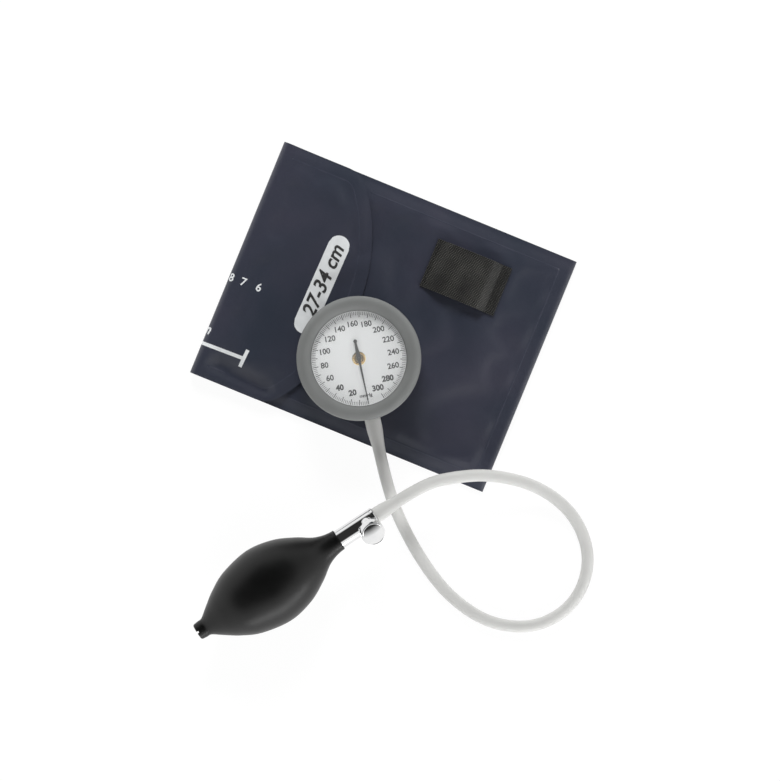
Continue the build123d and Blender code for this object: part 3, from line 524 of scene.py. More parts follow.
# %% [markdown]
# The valve is turned from brass and plated. Its barrel carries a leaning branch for the release
# screw. The two are turned apart and joined by a union, as the real body is brazed, and small
# chamfers at the ends catch the light.

# %% Valve body
BARREL_STATIONS = [
    (0, -15.0),
    (3.9, -15.0),
    (3.9, 0.0),
    (5.4, 0.0),
    (5.7, 0.3),
    (5.7, 22.4),
    (5.45, 22.6),
    (5.45, 23.0),
    (5.7, 23.2),
    (5.7, 24.7),
    (5.4, 25.0),
    (SPIGOT_R, 25.0),
    (SPIGOT_R, 36.0),
    (0, 36.0),
]
BRANCH_STATIONS = [(0, 1.0), (4.3, 1.0), (4.3, 10.2), (4.0, 10.5), (0, 10.5)]
barrel = turned("valve_chrome", BARREL_STATIONS, VALVE)
branch = turned("valve_branch", BRANCH_STATIONS, BRANCH, segments=72)
modify(barrel, "BOOLEAN", operation="UNION", solver="EXACT", object=branch)
bpy.data.objects.remove(branch)
bpy.ops.object.shade_smooth_by_angle(angle=math.radians(25))
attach(barrel, "hand_set")
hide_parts("valve_body")
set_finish(barrel, "chrome")
print("valve body:", len(barrel.data.polygons), "faces")

# %% [markdown]
# The release knob is a short polished disc. Its face has a thin rim and a very slight dome inside
# it, which spreads one reflection softly over the face, and its back edge is rounded for the
# fingers. It is turned as the barrel is, and a formula gives the dome's heights, because a dome so
# flat is hard to draw by hand.

# %% Release knob
KNOB_R = 6.85
KNOB_FACE = 21.0
KNOB_BACK = 14.0
KNOB_FOOT = 12.8
KNOB_BORE = 17.5
KNOB_BORE_R = 1.75
BACK_ROUND = 0.9
RIM_ROUND = 0.35
DOME = 0.0125
DOME_STATIONS = [5.7, 5.0, 4.2, 3.4, 2.6, 1.8, 1.0, 0.4, 0.0]
knob = turned(
    "knob_chrome",
    [
        (KNOB_BORE_R, KNOB_FOOT),
        (3.1, KNOB_FOOT),
        (3.4, 13.1),
        (3.4, KNOB_BACK),
        *bend(KNOB_R - BACK_ROUND, KNOB_BACK + BACK_ROUND, BACK_ROUND, -90, 0, 5),
        *bend(KNOB_R - RIM_ROUND, KNOB_FACE - RIM_ROUND, RIM_ROUND, 0, 90, 4),
        (KNOB_R - 0.75, KNOB_FACE),
        (KNOB_R - 0.95, KNOB_FACE - 0.2),
        *[(r, KNOB_FACE + 0.25 - DOME * r * r) for r in DOME_STATIONS],
        (0, KNOB_BORE),
        (KNOB_BORE_R, KNOB_BORE),
        (KNOB_BORE_R, KNOB_FOOT),
    ],
    BRANCH,
    segments=112,
    sharp=24,
)
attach(knob, "release_knob")
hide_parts("release_knob")
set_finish(knob, "chrome")
print("knob:", len(knob.data.polygons), "faces")

# %% [markdown]
# Under the knob a hexagonal gland nut holds the screw's seal. A cylinder with six sides already
# has its shape, and a small bevel takes the sharpness from its edges, which then catch the light.

# %% Gland nut
NUT_R = 5.66
NUT_HIGH = 1.5
NUT_MIDDLE = 11.25
bpy.ops.object.select_all(action="DESELECT")
bpy.ops.mesh.primitive_cylinder_add(
    vertices=6, radius=NUT_R * MM, depth=NUT_HIGH * MM, location=(0, 0, NUT_MIDDLE * MM)
)
nut = bpy.context.object
modify(nut, "BEVEL", width=0.25 * MM, segments=2)
settle(nut, "gland_nut_chrome", BRANCH)
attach(nut, "hand_set")
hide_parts("gland_nut")
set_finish(nut, "chrome")
print("gland nut:", len(nut.data.polygons), "faces")

# %% [markdown]
# The cuff is a long strip of coated nylon, two plies thick, folded to a flat parcel: the bottom
# panel, a round fold at the right, and the top panel with the air chamber inside. Its edges are
# welded flat, and the chamber's skin swells a little between them. A grid is laid along the
# strip's own length, bent round the fold, and given the height that the chamber and its creases
# make. The fittings stand on the flat crown, so the creases fade out around them.

# %% Sizes of the cuff
CUFF_LENGTH = 183.0
CUFF_WIDTH = 144.0
PANEL_TOP = 5.1
CROWN = 6.1
EDGE_TOP = 2.9
PLIES = 1.0
RIGHT_FOLD_R = PANEL_TOP / 2
RIGHT_FOLD_X = CUFF_LENGTH / 2 - RIGHT_FOLD_R
LEFT_FOLD_R = top_of("flap_outer_shell") / 2
LEFT_FOLD_X = LEFT_FOLD_R - CUFF_LENGTH / 2
PANEL_START = -80.0
SEAM = 8.0
HALF_WIDTH = CUFF_WIDTH / 2
STRAP_X, STRAP_Y = 35.3, 39.2
STRAP_LENGTH, STRAP_WIDTH = 46.0, 29.6
PATCH_X = -54.5
PATCH_LENGTH, PATCH_WIDTH = 25.0, 92.0
print("crown at", CROWN, "mm, hem at", EDGE_TOP, "mm")

# %% [markdown]
# Seen from above, the flap ends in one wide arc with a smaller arc at each corner. One function
# tells how far it reaches at any place across the cuff, and the cloth, the welds and the creases
# all ask it, so that they agree.

# %% Outline of the flap
FLAP_TOP = 2 * LEFT_FOLD_R
FLAP_REACH = 75.7
FLAP_TIP_X = FLAP_REACH - CUFF_LENGTH / 2
FLAP_END_R = 109.0
FLAP_CORNER = 16.0
FLAP_FOLD_RUN = math.pi * LEFT_FOLD_R
corner_y = HALF_WIDTH - FLAP_CORNER
centre_x = FLAP_TIP_X - FLAP_END_R
corner_x = centre_x + math.sqrt((FLAP_END_R - FLAP_CORNER) ** 2 - corner_y**2)
arc_y = corner_y * FLAP_END_R / (FLAP_END_R - FLAP_CORNER)


def flap_end(y):
    """How far the flap reaches at a place across the cuff."""
    y = abs(y)
    if y < arc_y:
        return centre_x + math.sqrt(FLAP_END_R**2 - y * y)
    return corner_x + math.sqrt(max(0.0, FLAP_CORNER**2 - (y - corner_y) ** 2))


print("flap reaches x =", round(FLAP_TIP_X, 1), "mm")

# %% [markdown]
# Cloth can only crease where nothing holds it. Two functions give the freedom of the top panel
# and of the flap at a place: none at the welds, the port, the strap, the patches and the fold, and
# full freedom a few millimetres further on. The steps between are smooth, so no edge shows.

# %% Where the skin is free
PORT_RING = (12, 18)
STRAP_RING = (1, 6)
PATCH_RING = (0, 10)
WELD_RING = (0, 3)
UNDER_FLAP_X = (-42, -34)
PAST_FOLD_X = (-86, -78)


def ease(x, low, high):
    """A smooth step from 0 at low to 1 at high."""
    t = min(1.0, max(0.0, (x - low) / (high - low)))
    return t * t * (3 - 2 * t)


def from_box(x, y, length, width):
    """The distance from a rectangle about the origin, which is 0 inside it."""
    return math.hypot(max(abs(x) - length / 2, 0), max(abs(y) - width / 2, 0))


def panel_free(x, y):
    """How free the top panel is to crease: 0 at a weld or a fitting and 1 well away from them."""
    from_port = math.hypot(x - PORT_X, y - PORT_Y)
    from_strap = from_box(x - STRAP_X, y - STRAP_Y, STRAP_LENGTH, STRAP_WIDTH)
    from_weld = min(HALF_WIDTH - abs(y), CUFF_LENGTH / 2 - x) - SEAM
    free = ease(from_port, *PORT_RING) * ease(from_strap, *STRAP_RING) * ease(x, *UNDER_FLAP_X)
    return free * ease(from_weld, *WELD_RING)


def flap_free(x, y):
    """How free the flap is: it is held by its fold and by the patches under its middle."""
    from_weld = HALF_WIDTH - abs(y) - SEAM
    from_patch = from_box(x - PATCH_X, y, PATCH_LENGTH, PATCH_WIDTH)
    free = ease(x, *PAST_FOLD_X) * ease(from_patch, *PATCH_RING) * ease(from_weld, *WELD_RING)
    return free * ease(flap_end(y) - x, SEAM, SEAM + 4)


print("the panel is free at its middle:", round(panel_free(60, 0), 2))

# %% [markdown]
# The skin's soft creases come from a cloth simulation. A coarse, flat copy of each panel is made
# twenty times larger, because cloth solvers work best at the size of clothes. It is pinned along
# its welds and under its fittings and cut slightly too large for its place, so it buckles as the
# coated nylon does. Its heights are kept as a grid of numbers, scaled back and limited.

# %% Simulated creases
TRIAL_STEP = 3.0
TRIAL_SCALE = 0.02
TRIAL_FRAMES = 24
TRIAL_SLACK = 0.009
FIRST_BOW = 0.5
BOW_X, BOW_Y, BOW_SEED = 20, 16, 5.0


class Creases:
    """Heights of a simulated cloth over a rectangle, read anywhere as a smooth surface."""

    def __init__(self, low, high, free, most):
        self.low, self.most = low, most
        self.columns = round((high[0] - low[0]) / TRIAL_STEP)
        self.rows = round((high[1] - low[1]) / TRIAL_STEP)
        self.heights = {}
        self.simulate(free)

    def simulate(self, free):
        """Let a copy that is too large for its place buckle, and keep its heights."""
        trial = flat_grid(self.columns, self.rows)
        pins = trial.vertex_groups.new(name="pins")
        cells = []
        for vertex in trial.data.vertices:
            column = round((vertex.co.x + 0.5) * self.columns)
            row = round((vertex.co.y + 0.5) * self.rows)
            x, y = self.low[0] + column * TRIAL_STEP, self.low[1] + row * TRIAL_STEP
            loose = free(x, y)
            bow = FIRST_BOW * loose * noise.noise(Vector((x / BOW_X, y / BOW_Y, BOW_SEED)))
            vertex.co = Vector((x, y, bow)) * TRIAL_SCALE
            if loose < 0.5 or column in (0, self.columns) or row in (0, self.rows):
                pins.add([vertex.index], 1.0, "REPLACE")
            cells.append((column, row))
        cloth = trial.modifiers.new("cloth", "CLOTH")
        cloth.settings.quality = 6
        cloth.settings.mass = 0.15
        cloth.settings.tension_stiffness = 20
        cloth.settings.compression_stiffness = 20
        cloth.settings.shear_stiffness = 8
        cloth.settings.bending_stiffness = 2
        cloth.settings.shrink_min = -TRIAL_SLACK
        cloth.settings.vertex_group_mass = "pins"
        cloth.settings.effector_weights.gravity = 0
        cloth.collision_settings.use_collision = False
        cloth.point_cache.frame_end = TRIAL_FRAMES
        for frame_number in range(1, TRIAL_FRAMES + 1):
            bpy.context.scene.frame_set(frame_number)
        bpy.ops.object.modifier_apply(modifier=cloth.name)
        for cell, vertex in zip(cells, trial.data.vertices):
            height = vertex.co.z / TRIAL_SCALE
            self.heights[cell] = self.most * math.tanh(height / self.most)
        bpy.data.objects.remove(trial)
        bpy.context.scene.frame_set(1)

    def at(self, x, y):
        """The height at a place: the grid's numbers, blended by a cubic B-spline."""
        across, up = (x - self.low[0]) / TRIAL_STEP, (y - self.low[1]) / TRIAL_STEP
        column, row = math.floor(across), math.floor(up)
        total = 0.0
        for i, share_x in enumerate(spline_shares(across - column)):
            for j, share_y in enumerate(spline_shares(up - row)):
                cell = column - 1 + i, row - 1 + j
                total += share_x * share_y * self.heights.get(cell, 0.0)
        return total


def spline_shares(t):
    """The weights of four neighbours in a cubic B-spline."""
    return (
        (1 - t) ** 3 / 6,
        (3 * t**3 - 6 * t**2 + 4) / 6,
        (-3 * t**3 + 3 * t**2 + 3 * t + 1) / 6,
        t**3 / 6,
    )


panel_creases = Creases((-42, -66), (84, 66), panel_free, most=1.5)
print("panel creases:", len(panel_creases.heights), "heights")

# %% [markdown]
# The top panel's outside is a height at every place: a low hem at the welds, a crown over the
# chamber, and the creases on it. The flap's hollow is pressed in here too, at half its depth.

# %% Heights of the top panel
HOLLOW = ((-84.0, -62.0), (-48.0, -64.5), 4.8, -3.4)
HOLLOW_BELOW = 0.5


def crease(x, y, line):
    """The push of one soft crease at a place: a ridge or a hollow about a short line."""
    start, stop, width, push = line
    run = Vector(stop) - Vector(start)
    here = Vector((x, y)) - Vector(start)
    share = min(1.0, max(0.0, here.dot(run) / run.length_squared))
    away = (here - run * share).length
    return push * math.exp(-((away / width) ** 2))


def panel_height(x, y):
    """The top panel's outside, in millimetres above the table."""
    from_side = HALF_WIDTH - abs(y)
    from_end = CUFF_LENGTH / 2 - x
    inside = min(from_side, from_end, x - PANEL_START)
    hem = EDGE_TOP + (PANEL_TOP - EDGE_TOP) * ease(min(from_side, x - PANEL_START), 0, SEAM + 1)
    rise = (CROWN - PANEL_TOP) * ease(inside, SEAM - 1, SEAM + 6)
    push = panel_creases.at(x, y) * panel_free(x, y) + HOLLOW_BELOW * crease(x, y, HOLLOW)
    return hem + rise + push


print("height at the port:", round(panel_height(PORT_X, PORT_Y), 2), "mm")

# %% [markdown]
# The strip and the flap are laid out in the same way. A grid has one row of points for every step
# along the cloth, and a function tells where each point lies. The UV map is measured in metres
# along the cloth, so the weave keeps its size round every fold. The thickness comes last, inwards
# from the outside.

# %% Cloth tools


def cloth_grid(name, length, step, place):
    """A grid over a strip of cloth, with its UV map in metres along and across the strip."""
    rows, columns = round(length / step), round(CUFF_WIDTH / step)
    piece = flat_grid(rows, columns)
    for spot in piece.data.uv_layers.active.data:
        spot.uv = (spot.uv[0] * length * MM, spot.uv[1] * CUFF_WIDTH * MM)
    for vertex in piece.data.vertices:
        run, y = (vertex.co.x + 0.5) * length, vertex.co.y * CUFF_WIDTH
        vertex.co = Vector(place(run, y)) * MM
    piece.name = piece.data.name = name
    return piece


def give_plies(piece, thickness):
    """Give a cloth grid its thickness inwards from its outside."""
    modify(piece, "SOLIDIFY", thickness=thickness * MM, offset=-1, use_even_offset=True)
    bpy.ops.object.shade_smooth_by_angle(angle=math.radians(60))
    return piece


print("cloth tools ready")

# %% [markdown]
# The strip itself is one long grid. Its first stretch is the top panel, the next goes round the
# fold at the right, and the last is the bottom panel, flat on the table. One grid keeps the cloth
# whole: there is no seam at the fold, as on the real cuff.

# %% Cuff strip
STRIP_STEP = 1.5
TOP_RUN = RIGHT_FOLD_X - PANEL_START
FOLD_RUN = math.pi * RIGHT_FOLD_R
BOTTOM_RUN = RIGHT_FOLD_X - LEFT_FOLD_X
STRIP_LENGTH = TOP_RUN + FOLD_RUN + BOTTOM_RUN


def strip_place(run, y):
    """Where a point of the strip lies, from its distance along the strip and across it."""
    edge_sag = (PANEL_TOP - EDGE_TOP) * (1 - ease(HALF_WIDTH - abs(y), 0, SEAM + 1))
    if run < TOP_RUN:
        x = PANEL_START + run
        near_fold = ease(x, RIGHT_FOLD_X - 6, RIGHT_FOLD_X)
        return x, y, panel_height(x, y) * (1 - near_fold) + (PANEL_TOP - edge_sag) * near_fold
    if run < TOP_RUN + FOLD_RUN:
        turn = (run - TOP_RUN) / RIGHT_FOLD_R
        radius = RIGHT_FOLD_R - edge_sag / 2
        x = RIGHT_FOLD_X + RIGHT_FOLD_R * math.sin(turn)
        return x, y, radius + radius * math.cos(turn)
    return RIGHT_FOLD_X - (run - TOP_RUN - FOLD_RUN), y, 0.0


cuff = give_plies(cloth_grid("cuff_cloth", STRIP_LENGTH, STRIP_STEP, strip_place), PLIES)
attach(cuff, "cuff")
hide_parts("cuff_outer_shell", "cuff_inner_lining")
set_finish(cuff, "nylon")
print("cuff cloth:", len(cuff.data.polygons), "faces over", round(STRIP_LENGTH), "mm of strip")

# %% [markdown]
# Between the top and the bottom panel lies the air chamber, almost empty. It is a closed pad that
# fills the room under the crown and rests on the bottom panel. A finely divided cube is shaped
# into it, with its top and bottom drawn together at the rim.

# %% Air chamber
CHAMBER_START, CHAMBER_END = -72.0, CUFF_LENGTH / 2 - SEAM
CHAMBER_LENGTH = CHAMBER_END - CHAMBER_START
CHAMBER_WIDTH = CUFF_WIDTH - 2 * SEAM
CHAMBER_X = (CHAMBER_START + CHAMBER_END) / 2
GAP_ABOVE, GAP_BELOW = 0.15, 0.1
RIM_LIFT = 0.3
chamber = unit_cube()
bpy.ops.object.mode_set(mode="EDIT")
bpy.ops.mesh.subdivide(number_cuts=40)
bpy.ops.object.mode_set(mode="OBJECT")
for vertex in chamber.data.vertices:
    x = CHAMBER_X + vertex.co.x * CHAMBER_LENGTH
    y = vertex.co.y * CHAMBER_WIDTH
    from_side = CHAMBER_WIDTH / 2 - abs(y)
    from_end = CHAMBER_LENGTH / 2 - abs(x - CHAMBER_X)
    full = math.sqrt(ease(min(from_side, from_end), -2, 12))
    high = panel_height(x, y) - PLIES - GAP_ABOVE
    middle = (high + PLIES) / 2 + RIM_LIFT
    low = middle + (PLIES + GAP_BELOW - middle) * full
    high = middle + (high - middle) * full
    vertex.co = Vector((x, y, low + (high - low) * (vertex.co.z + 0.5))) * MM
settle(chamber, "air_chamber", sharp=60)
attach(chamber, "cuff")
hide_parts("air_bladder")
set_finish(chamber, "bladder")
print("air chamber:", len(chamber.data.polygons), "faces")

# %% [markdown]
# The flap starts at the bottom panel's left edge, turns round the left fold and lies over the top
# panel. It rides high over the hook and loop patches and near the fold, and it sinks towards its
# edge, with a hollow near its lower corner where nothing holds it up. It never comes closer to the
# panel under it than a small clearance.

# %% Heights of the flap
FLAP_LOW = 7.35
FLAP_CLEAR = 0.12
CORNER_DROP = 0.8
CORNER_Y = (62, 72)
HELD_X, HELD_Y = (-24, -44), (70, 50)
NEAR_FOLD_X = (-66, -86)
EDGE_RUN = 6
FLAP_CREASES = [
    HOLLOW,
    ((-84.0, -50.0), (-52.0, -52.0), 5.0, 0.6),
    ((-36.0, 58.0), (-24.0, 30.0), 4.0, 0.3),
]
flap_creases = Creases((-90, -66), (-15, 66), flap_free, most=1.2)


def flap_height(x, y):
    """The flap's outside, in millimetres above the table, also round its fold."""
    if x < LEFT_FOLD_X:
        return LEFT_FOLD_R + math.sqrt(max(0.0, LEFT_FOLD_R**2 - (LEFT_FOLD_X - x) ** 2))
    from_edge = min(flap_end(y) - x, HALF_WIDTH - abs(y))
    from_fold = ease(x, LEFT_FOLD_X, LEFT_FOLD_X + 8)
    held = ease(x, *HELD_X) * ease(abs(y), *HELD_Y)
    base = FLAP_LOW + (FLAP_TOP - FLAP_LOW) * max(held, ease(x, *NEAR_FOLD_X))
    push = sum(crease(x, y, line) for line in FLAP_CREASES) + flap_creases.at(x, y)
    push *= ease(x, LEFT_FOLD_X, LEFT_FOLD_X + 10) * ease(from_edge, 0, EDGE_RUN)
    drop = CORNER_DROP * ease(from_edge, EDGE_RUN, 0) * ease(abs(y), *CORNER_Y) * from_fold
    return max(base + push - drop, panel_height(x, y) + PLIES + FLAP_CLEAR)


print("flap's middle at", round(flap_height(PATCH_X, 0), 2), "mm")

# %% [markdown]
# The flap's grid is laid out in the same way, round its own fold and then out to its outline. The
# rows are drawn a little closer at the sides, where the corners are.

# %% Flap
FLAP_STEP = 1.3
SIDE_CROWDING = 1.35
FLAP_RUN = FLAP_FOLD_RUN + FLAP_TIP_X - LEFT_FOLD_X


def flap_place(run, y):
    """Where a point of the flap's strip lies: round the fold, then out to the end's outline."""
    if run < FLAP_FOLD_RUN:
        turn = run / LEFT_FOLD_R
        x = LEFT_FOLD_X - LEFT_FOLD_R * math.sin(turn)
        return x, y, LEFT_FOLD_R - LEFT_FOLD_R * math.cos(turn)
    share = (run - FLAP_FOLD_RUN) / (FLAP_RUN - FLAP_FOLD_RUN)
    drawn = 1 - (1 - abs(y) / HALF_WIDTH) ** SIDE_CROWDING
    edge_y = math.copysign(HALF_WIDTH * drawn, y)
    y = y + (edge_y - y) * ease(share, 0, 0.5)
    x = LEFT_FOLD_X + share * (flap_end(y) - LEFT_FOLD_X)
    return x, y, flap_height(x, y)


flap = give_plies(cloth_grid("flap_cloth", FLAP_RUN, FLAP_STEP, flap_place), PLIES)
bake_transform(flap)
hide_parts("flap_outer_shell", "flap_inner_lining")
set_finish(flap, "nylon")
print("flap cloth:", len(flap.data.polygons), "faces")

# %% [markdown]
# The plies are joined by welds, which show as fine raised lines eight millimetres inside each
# edge. Each line is a long grid of five points across, laid along the weld and lifted to the
# cloth's own height with a rounded ridge.

# %% Weld tools
BEAD_PROFILE = [(-0.6, -0.05), (-0.3, 0.03), (0.0, 0.06), (0.3, 0.03), (0.6, -0.05)]
BEAD_BACKING = 0.08
FLAP_SEAM = 7.5
WELD_START_X = -34


def bead(name, line, height, body):
    """A weld line: a narrow raised strip along flat points, resting on a height function."""
    points = [Vector(p) for p in line]
    count, across = len(points) - 1, len(BEAD_PROFILE) - 1
    piece = flat_grid(count, across)
    for vertex in piece.data.vertices:
        i = round((vertex.co.x + 0.5) * count)
        offset, lift = BEAD_PROFILE[round((vertex.co.y + 0.5) * across)]
        along = (points[min(i + 1, count)] - points[max(i - 1, 0)]).normalized()
        x, y = points[i] + Vector((-along.y, along.x)) * offset
        vertex.co = Vector((x, y, height(x, y) + lift)) * MM
    modify(piece, "SOLIDIFY", thickness=BEAD_BACKING * MM)
    bpy.ops.object.shade_smooth()
    piece.name = piece.data.name = name
    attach(piece, body)
    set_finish(piece, "nylon")
    return piece


def run_of(start, stop, step=1.5):
    """Flat points from one place to another."""
    start, stop = Vector(start), Vector(stop)
    count = max(2, round((stop - start).length / step))
    return [tuple(start.lerp(stop, i / count)) for i in range(count + 1)]


def flap_inset(inset):
    """The flap's outline a distance inside its edge, from one side's fold to the other's."""
    half = HALF_WIDTH - inset
    corner_r, end_r = FLAP_CORNER - inset, FLAP_END_R - inset
    line = run_of((LEFT_FOLD_X + 4, -half), (corner_x, -half))
    opening = math.degrees(math.asin(corner_y / (FLAP_END_R - FLAP_CORNER)))
    line += bend(corner_x, -corner_y, corner_r, -90, -opening, 8)[1:]
    line += bend(centre_x, 0, end_r, -opening, opening, 60)[1:]
    line += bend(corner_x, corner_y, corner_r, opening, 90, 8)[1:]
    return line + run_of((corner_x, half), (LEFT_FOLD_X + 4, half))[1:]


print("weld profile:", len(BEAD_PROFILE), "points across")

# %% [markdown]
# Three welds run round the top panel, from under the flap to the right fold and back. One more
# follows the flap's own outline, half a millimetre nearer its edge.

# %% Welds of the panel and the flap
seam_x, seam_y = CUFF_LENGTH / 2 - SEAM, HALF_WIDTH - SEAM
welds = [
    bead("weld_top", run_of((WELD_START_X, seam_y), (seam_x, seam_y)), panel_height, "cuff"),
    bead("weld_bottom", run_of((WELD_START_X, -seam_y), (seam_x, -seam_y)), panel_height, "cuff"),
    bead("weld_right", run_of((seam_x, -seam_y), (seam_x, seam_y)), panel_height, "cuff"),
    bead("weld_flap", flap_inset(FLAP_SEAM), flap_height, "flap"),
]
print("weld lines:", [piece.name for piece in welds])

# %% [markdown]
# The strap is elastic webbing about a millimetre thick, sewn down at both ends and standing clear
# of the cuff between. It is a grid too, bent along its own line and given its thickness. Its UV
# map is measured along the bent line, so that the weave keeps one size.

# %% Strap
STRAP_T = 1.2
STRAP_LINE = smooth(
    [
        (-23.0, CROWN + 1.2),
        (-20.5, CROWN + 1.3),
        (-18.0, CROWN + 2.4),
        (-14.0, CROWN + 4.5),
        (-9.5, CROWN + 5.6),
        (-5.0, CROWN + 5.9),
        (0.0, CROWN + 5.9),
        (8.0, CROWN + 5.9),
        (12.2, CROWN + 5.5),
        (15.0, CROWN + 3.2),
        (17.2, CROWN + 1.3),
        (19.5, CROWN + 1.2),
        (23.0, CROWN + 1.2),
    ],
    4,
)
strap = flat_grid(len(STRAP_LINE) - 1, 24)
reach = [0.0]
for before, after in zip(STRAP_LINE, STRAP_LINE[1:]):
    reach.append(reach[-1] + math.dist(before, after))
for spot in strap.data.uv_layers.active.data:
    station = round(spot.uv[0] * (len(STRAP_LINE) - 1))
    spot.uv = (reach[station] * MM, spot.uv[1] * STRAP_WIDTH * MM)
for vertex in strap.data.vertices:
    station = round((vertex.co.x + 0.5) * (len(STRAP_LINE) - 1))
    x, z = STRAP_LINE[station]
    y = vertex.co.y * STRAP_WIDTH
    vertex.co = Vector((STRAP_X + x, STRAP_Y + y, z)) * MM
strap.name = strap.data.name = "strap_webbing"
give_plies(strap, STRAP_T)
modify(strap, "BEVEL", width=0.35 * MM, segments=2, limit_method="ANGLE")
bpy.ops.object.shade_smooth_by_angle(angle=math.radians(50))
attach(strap, "cuff")
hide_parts("holding_strap")
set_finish(strap, "webbing")
print("strap:", len(strap.data.polygons), "faces,", round(reach[-1], 1), "mm of webbing")

# %% [markdown]
# Stitches, marks and words repeat small shapes many times over. One shape is modelled, copied to
# its places with a mesh of its own each time, and the copies are joined into one piece.

# %% Copies of one small shape


def join_as(pieces, name):
    """Join copies into one piece with its place in its mesh."""
    bpy.ops.object.select_all(action="DESELECT")
    for piece in pieces:
        piece.select_set(True)
    bpy.context.view_layer.objects.active = pieces[0]
    bpy.ops.object.join()
    joined = bpy.context.object
    bpy.ops.object.transform_apply(location=True, rotation=True, scale=True)
    joined.name = joined.data.name = name
    return joined


def copies(shape, places):
    """Copies of a small shape at the given matrices, each with its own mesh."""
    made = []
    for place in places:
        copy = shape.copy()
        copy.data = shape.data.copy()
        bpy.context.scene.collection.objects.link(copy)
        copy.matrix_world = place
        made.append(copy)
    bpy.data.objects.remove(shape)
    return made


print("copying tools ready")

# %% [markdown]
# The strap's ends are held by rows of stitches. One rounded stitch is a small ball drawn long and
# flat, and its copies stand in rows across the webbing.

# %% Stitches on the strap
STITCH_PITCH = 1.9
STITCHES = 14
STITCH_ROWS = [-21.6, 18.0, 21.0]
STITCH_LEVEL = CROWN + 1.28
STITCH_SHAPE = (0.55, 1.6, 0.4)
bpy.ops.object.select_all(action="DESELECT")
bpy.ops.mesh.primitive_uv_sphere_add(segments=8, ring_count=6, radius=0.5 * MM)
stitch = bpy.context.object
bpy.ops.transform.resize(value=STITCH_SHAPE)
bpy.ops.object.transform_apply(scale=True)
places = []
for row in STITCH_ROWS:
    for i in range(STITCHES):
        along = (i - (STITCHES - 1) / 2) * STITCH_PITCH
        spot = Vector((STRAP_X + row, STRAP_Y + along, STITCH_LEVEL))
        places.append(Matrix.Translation(spot * MM))
thread = join_as(copies(stitch, places), "strap_stitches")
bpy.ops.object.shade_smooth()
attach(thread, "cuff")
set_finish(thread, "webbing")
print("stitches:", len(places))

# %% [markdown]
# The dial is a white enamelled disc, and a white spacer ring stands on its edge and carries the
# lens. Both are turned as one piece, with a small fillet between them, because on the real gauge
# no gap shows there.

# %% Dial plate
DIAL_R = 27.15
DIAL_T = 0.5
HOLE_R = 2.8
SPACER_R = 26.98
SPACER_HIGH = 0.8
FILLET = 0.15
dial_top = top_of("dial_plate")
dial_plate = turned(
    "dial_enamel",
    [
        (HOLE_R, dial_top - DIAL_T),
        (DIAL_R, dial_top - DIAL_T),
        (DIAL_R, dial_top + SPACER_HIGH),
        (SPACER_R, dial_top + SPACER_HIGH),
        (SPACER_R, dial_top + FILLET),
        *bend(SPACER_R - FILLET, dial_top + FILLET, FILLET, 0, -90, 3),
        (HOLE_R, dial_top),
        (HOLE_R, dial_top - DIAL_T),
    ],
    GAUGE,
    segments=144,
)
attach(dial_plate, "hand_set")
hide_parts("dial_plate")
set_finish(dial_plate, "dial")
print("dial at", round(dial_top, 1), "mm")

# %% [markdown]
# A brass eyelet with a bevelled rim lines the dial's hole, with a polished dish inside it, and in
# the middle the pointer's boss turns on its arbor. The slopes of the brass are what makes it
# shine: a flat face would only mirror the dark patch above.

# %% Eyelet and boss
EYELET_STATIONS = [
    (3.95, 0.0),
    (3.8, 0.06),
    (3.42, 0.28),
    (3.34, 0.28),
    (2.9, 0.03),
    (2.6, -0.14),
    (1.6, -0.76),
    (0.6, -1.1),
    (0.6, -1.3),
    (1.6, -0.95),
    (2.75, -0.3),
    (3.0, 0.0),
    (3.95, 0.0),
]
BOSS_HOLE_R = 0.5
eyelet = turned(
    "eyelet_brass",
    [(r, dial_top + z) for r, z in EYELET_STATIONS],
    GAUGE,
    segments=72,
    sharp=20,
)
boss_low, boss_top = foot_of("pointer_hub"), top_of("pointer_hub")
boss = turned(
    "pointer_boss",
    [
        (BOSS_HOLE_R, boss_low),
        (1.75, boss_low),
        *bend(1.6, boss_top - 0.35, 0.3, 0, 90, 4),
        (BOSS_HOLE_R, boss_top),
        (BOSS_HOLE_R, boss_low),
    ],
    GAUGE,
    segments=48,
    sharp=40,
)
for piece, node, body, slot in (
    (eyelet, "dial_eyelet", "hand_set", "brass"),
    (boss, "pointer_hub", "pointer", "brass"),
):
    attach(piece, body)
    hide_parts(node)
    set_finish(piece, slot)
print("boss from", round(boss_low, 1), "to", round(boss_top, 1), "mm")

# %% [markdown]
# The dial's print is a scale from 0 to 300 in millimetres of mercury: a mark for every two and a
# longer one for every ten. One mark is a flat block, and its copies stand round the dial, each
# turned to its own reading.

# %% Dial marks
FULL_SCALE = 300
SWEEP = 339.6
MARK_OUT = 26.7
LONG_MARK = (3.2, 0.4)
SHORT_MARK = (2.1, 0.26)
INK_T = 0.04
ink_level = dial_top + INK_T / 2


def scale_angle(value):
    """The direction of a reading in the gauge's frame."""
    return math.radians(-90 - value * SWEEP / FULL_SCALE)


def mark_place(value, length, width):
    """Where a unit cube becomes the mark of a reading."""
    middle = MARK_OUT - length / 2
    return (
        GAUGE
        @ Matrix.Rotation(scale_angle(value), 4, "Z")
        @ Matrix.Translation((middle * MM, 0, ink_level * MM))
        @ Matrix.Diagonal((length * MM, width * MM, INK_T * MM, 1))
    )


places = []
for value in range(0, FULL_SCALE + 1, 2):
    mark_size = LONG_MARK if value % 10 == 0 else SHORT_MARK
    places.append(mark_place(value, *mark_size))
dial_marks = join_as(copies(unit_cube(), places), "dial_marks")
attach(dial_marks, "hand_set")
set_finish(dial_marks, "hand")
print("dial marks:", len(places))

# %% [markdown]
# A number stands by every tenth mark, and the unit is between the scale's two ends. They are text
# made into thin solid print. All stand level, whatever the direction of their marks, and the
# lowest and highest are bolder.

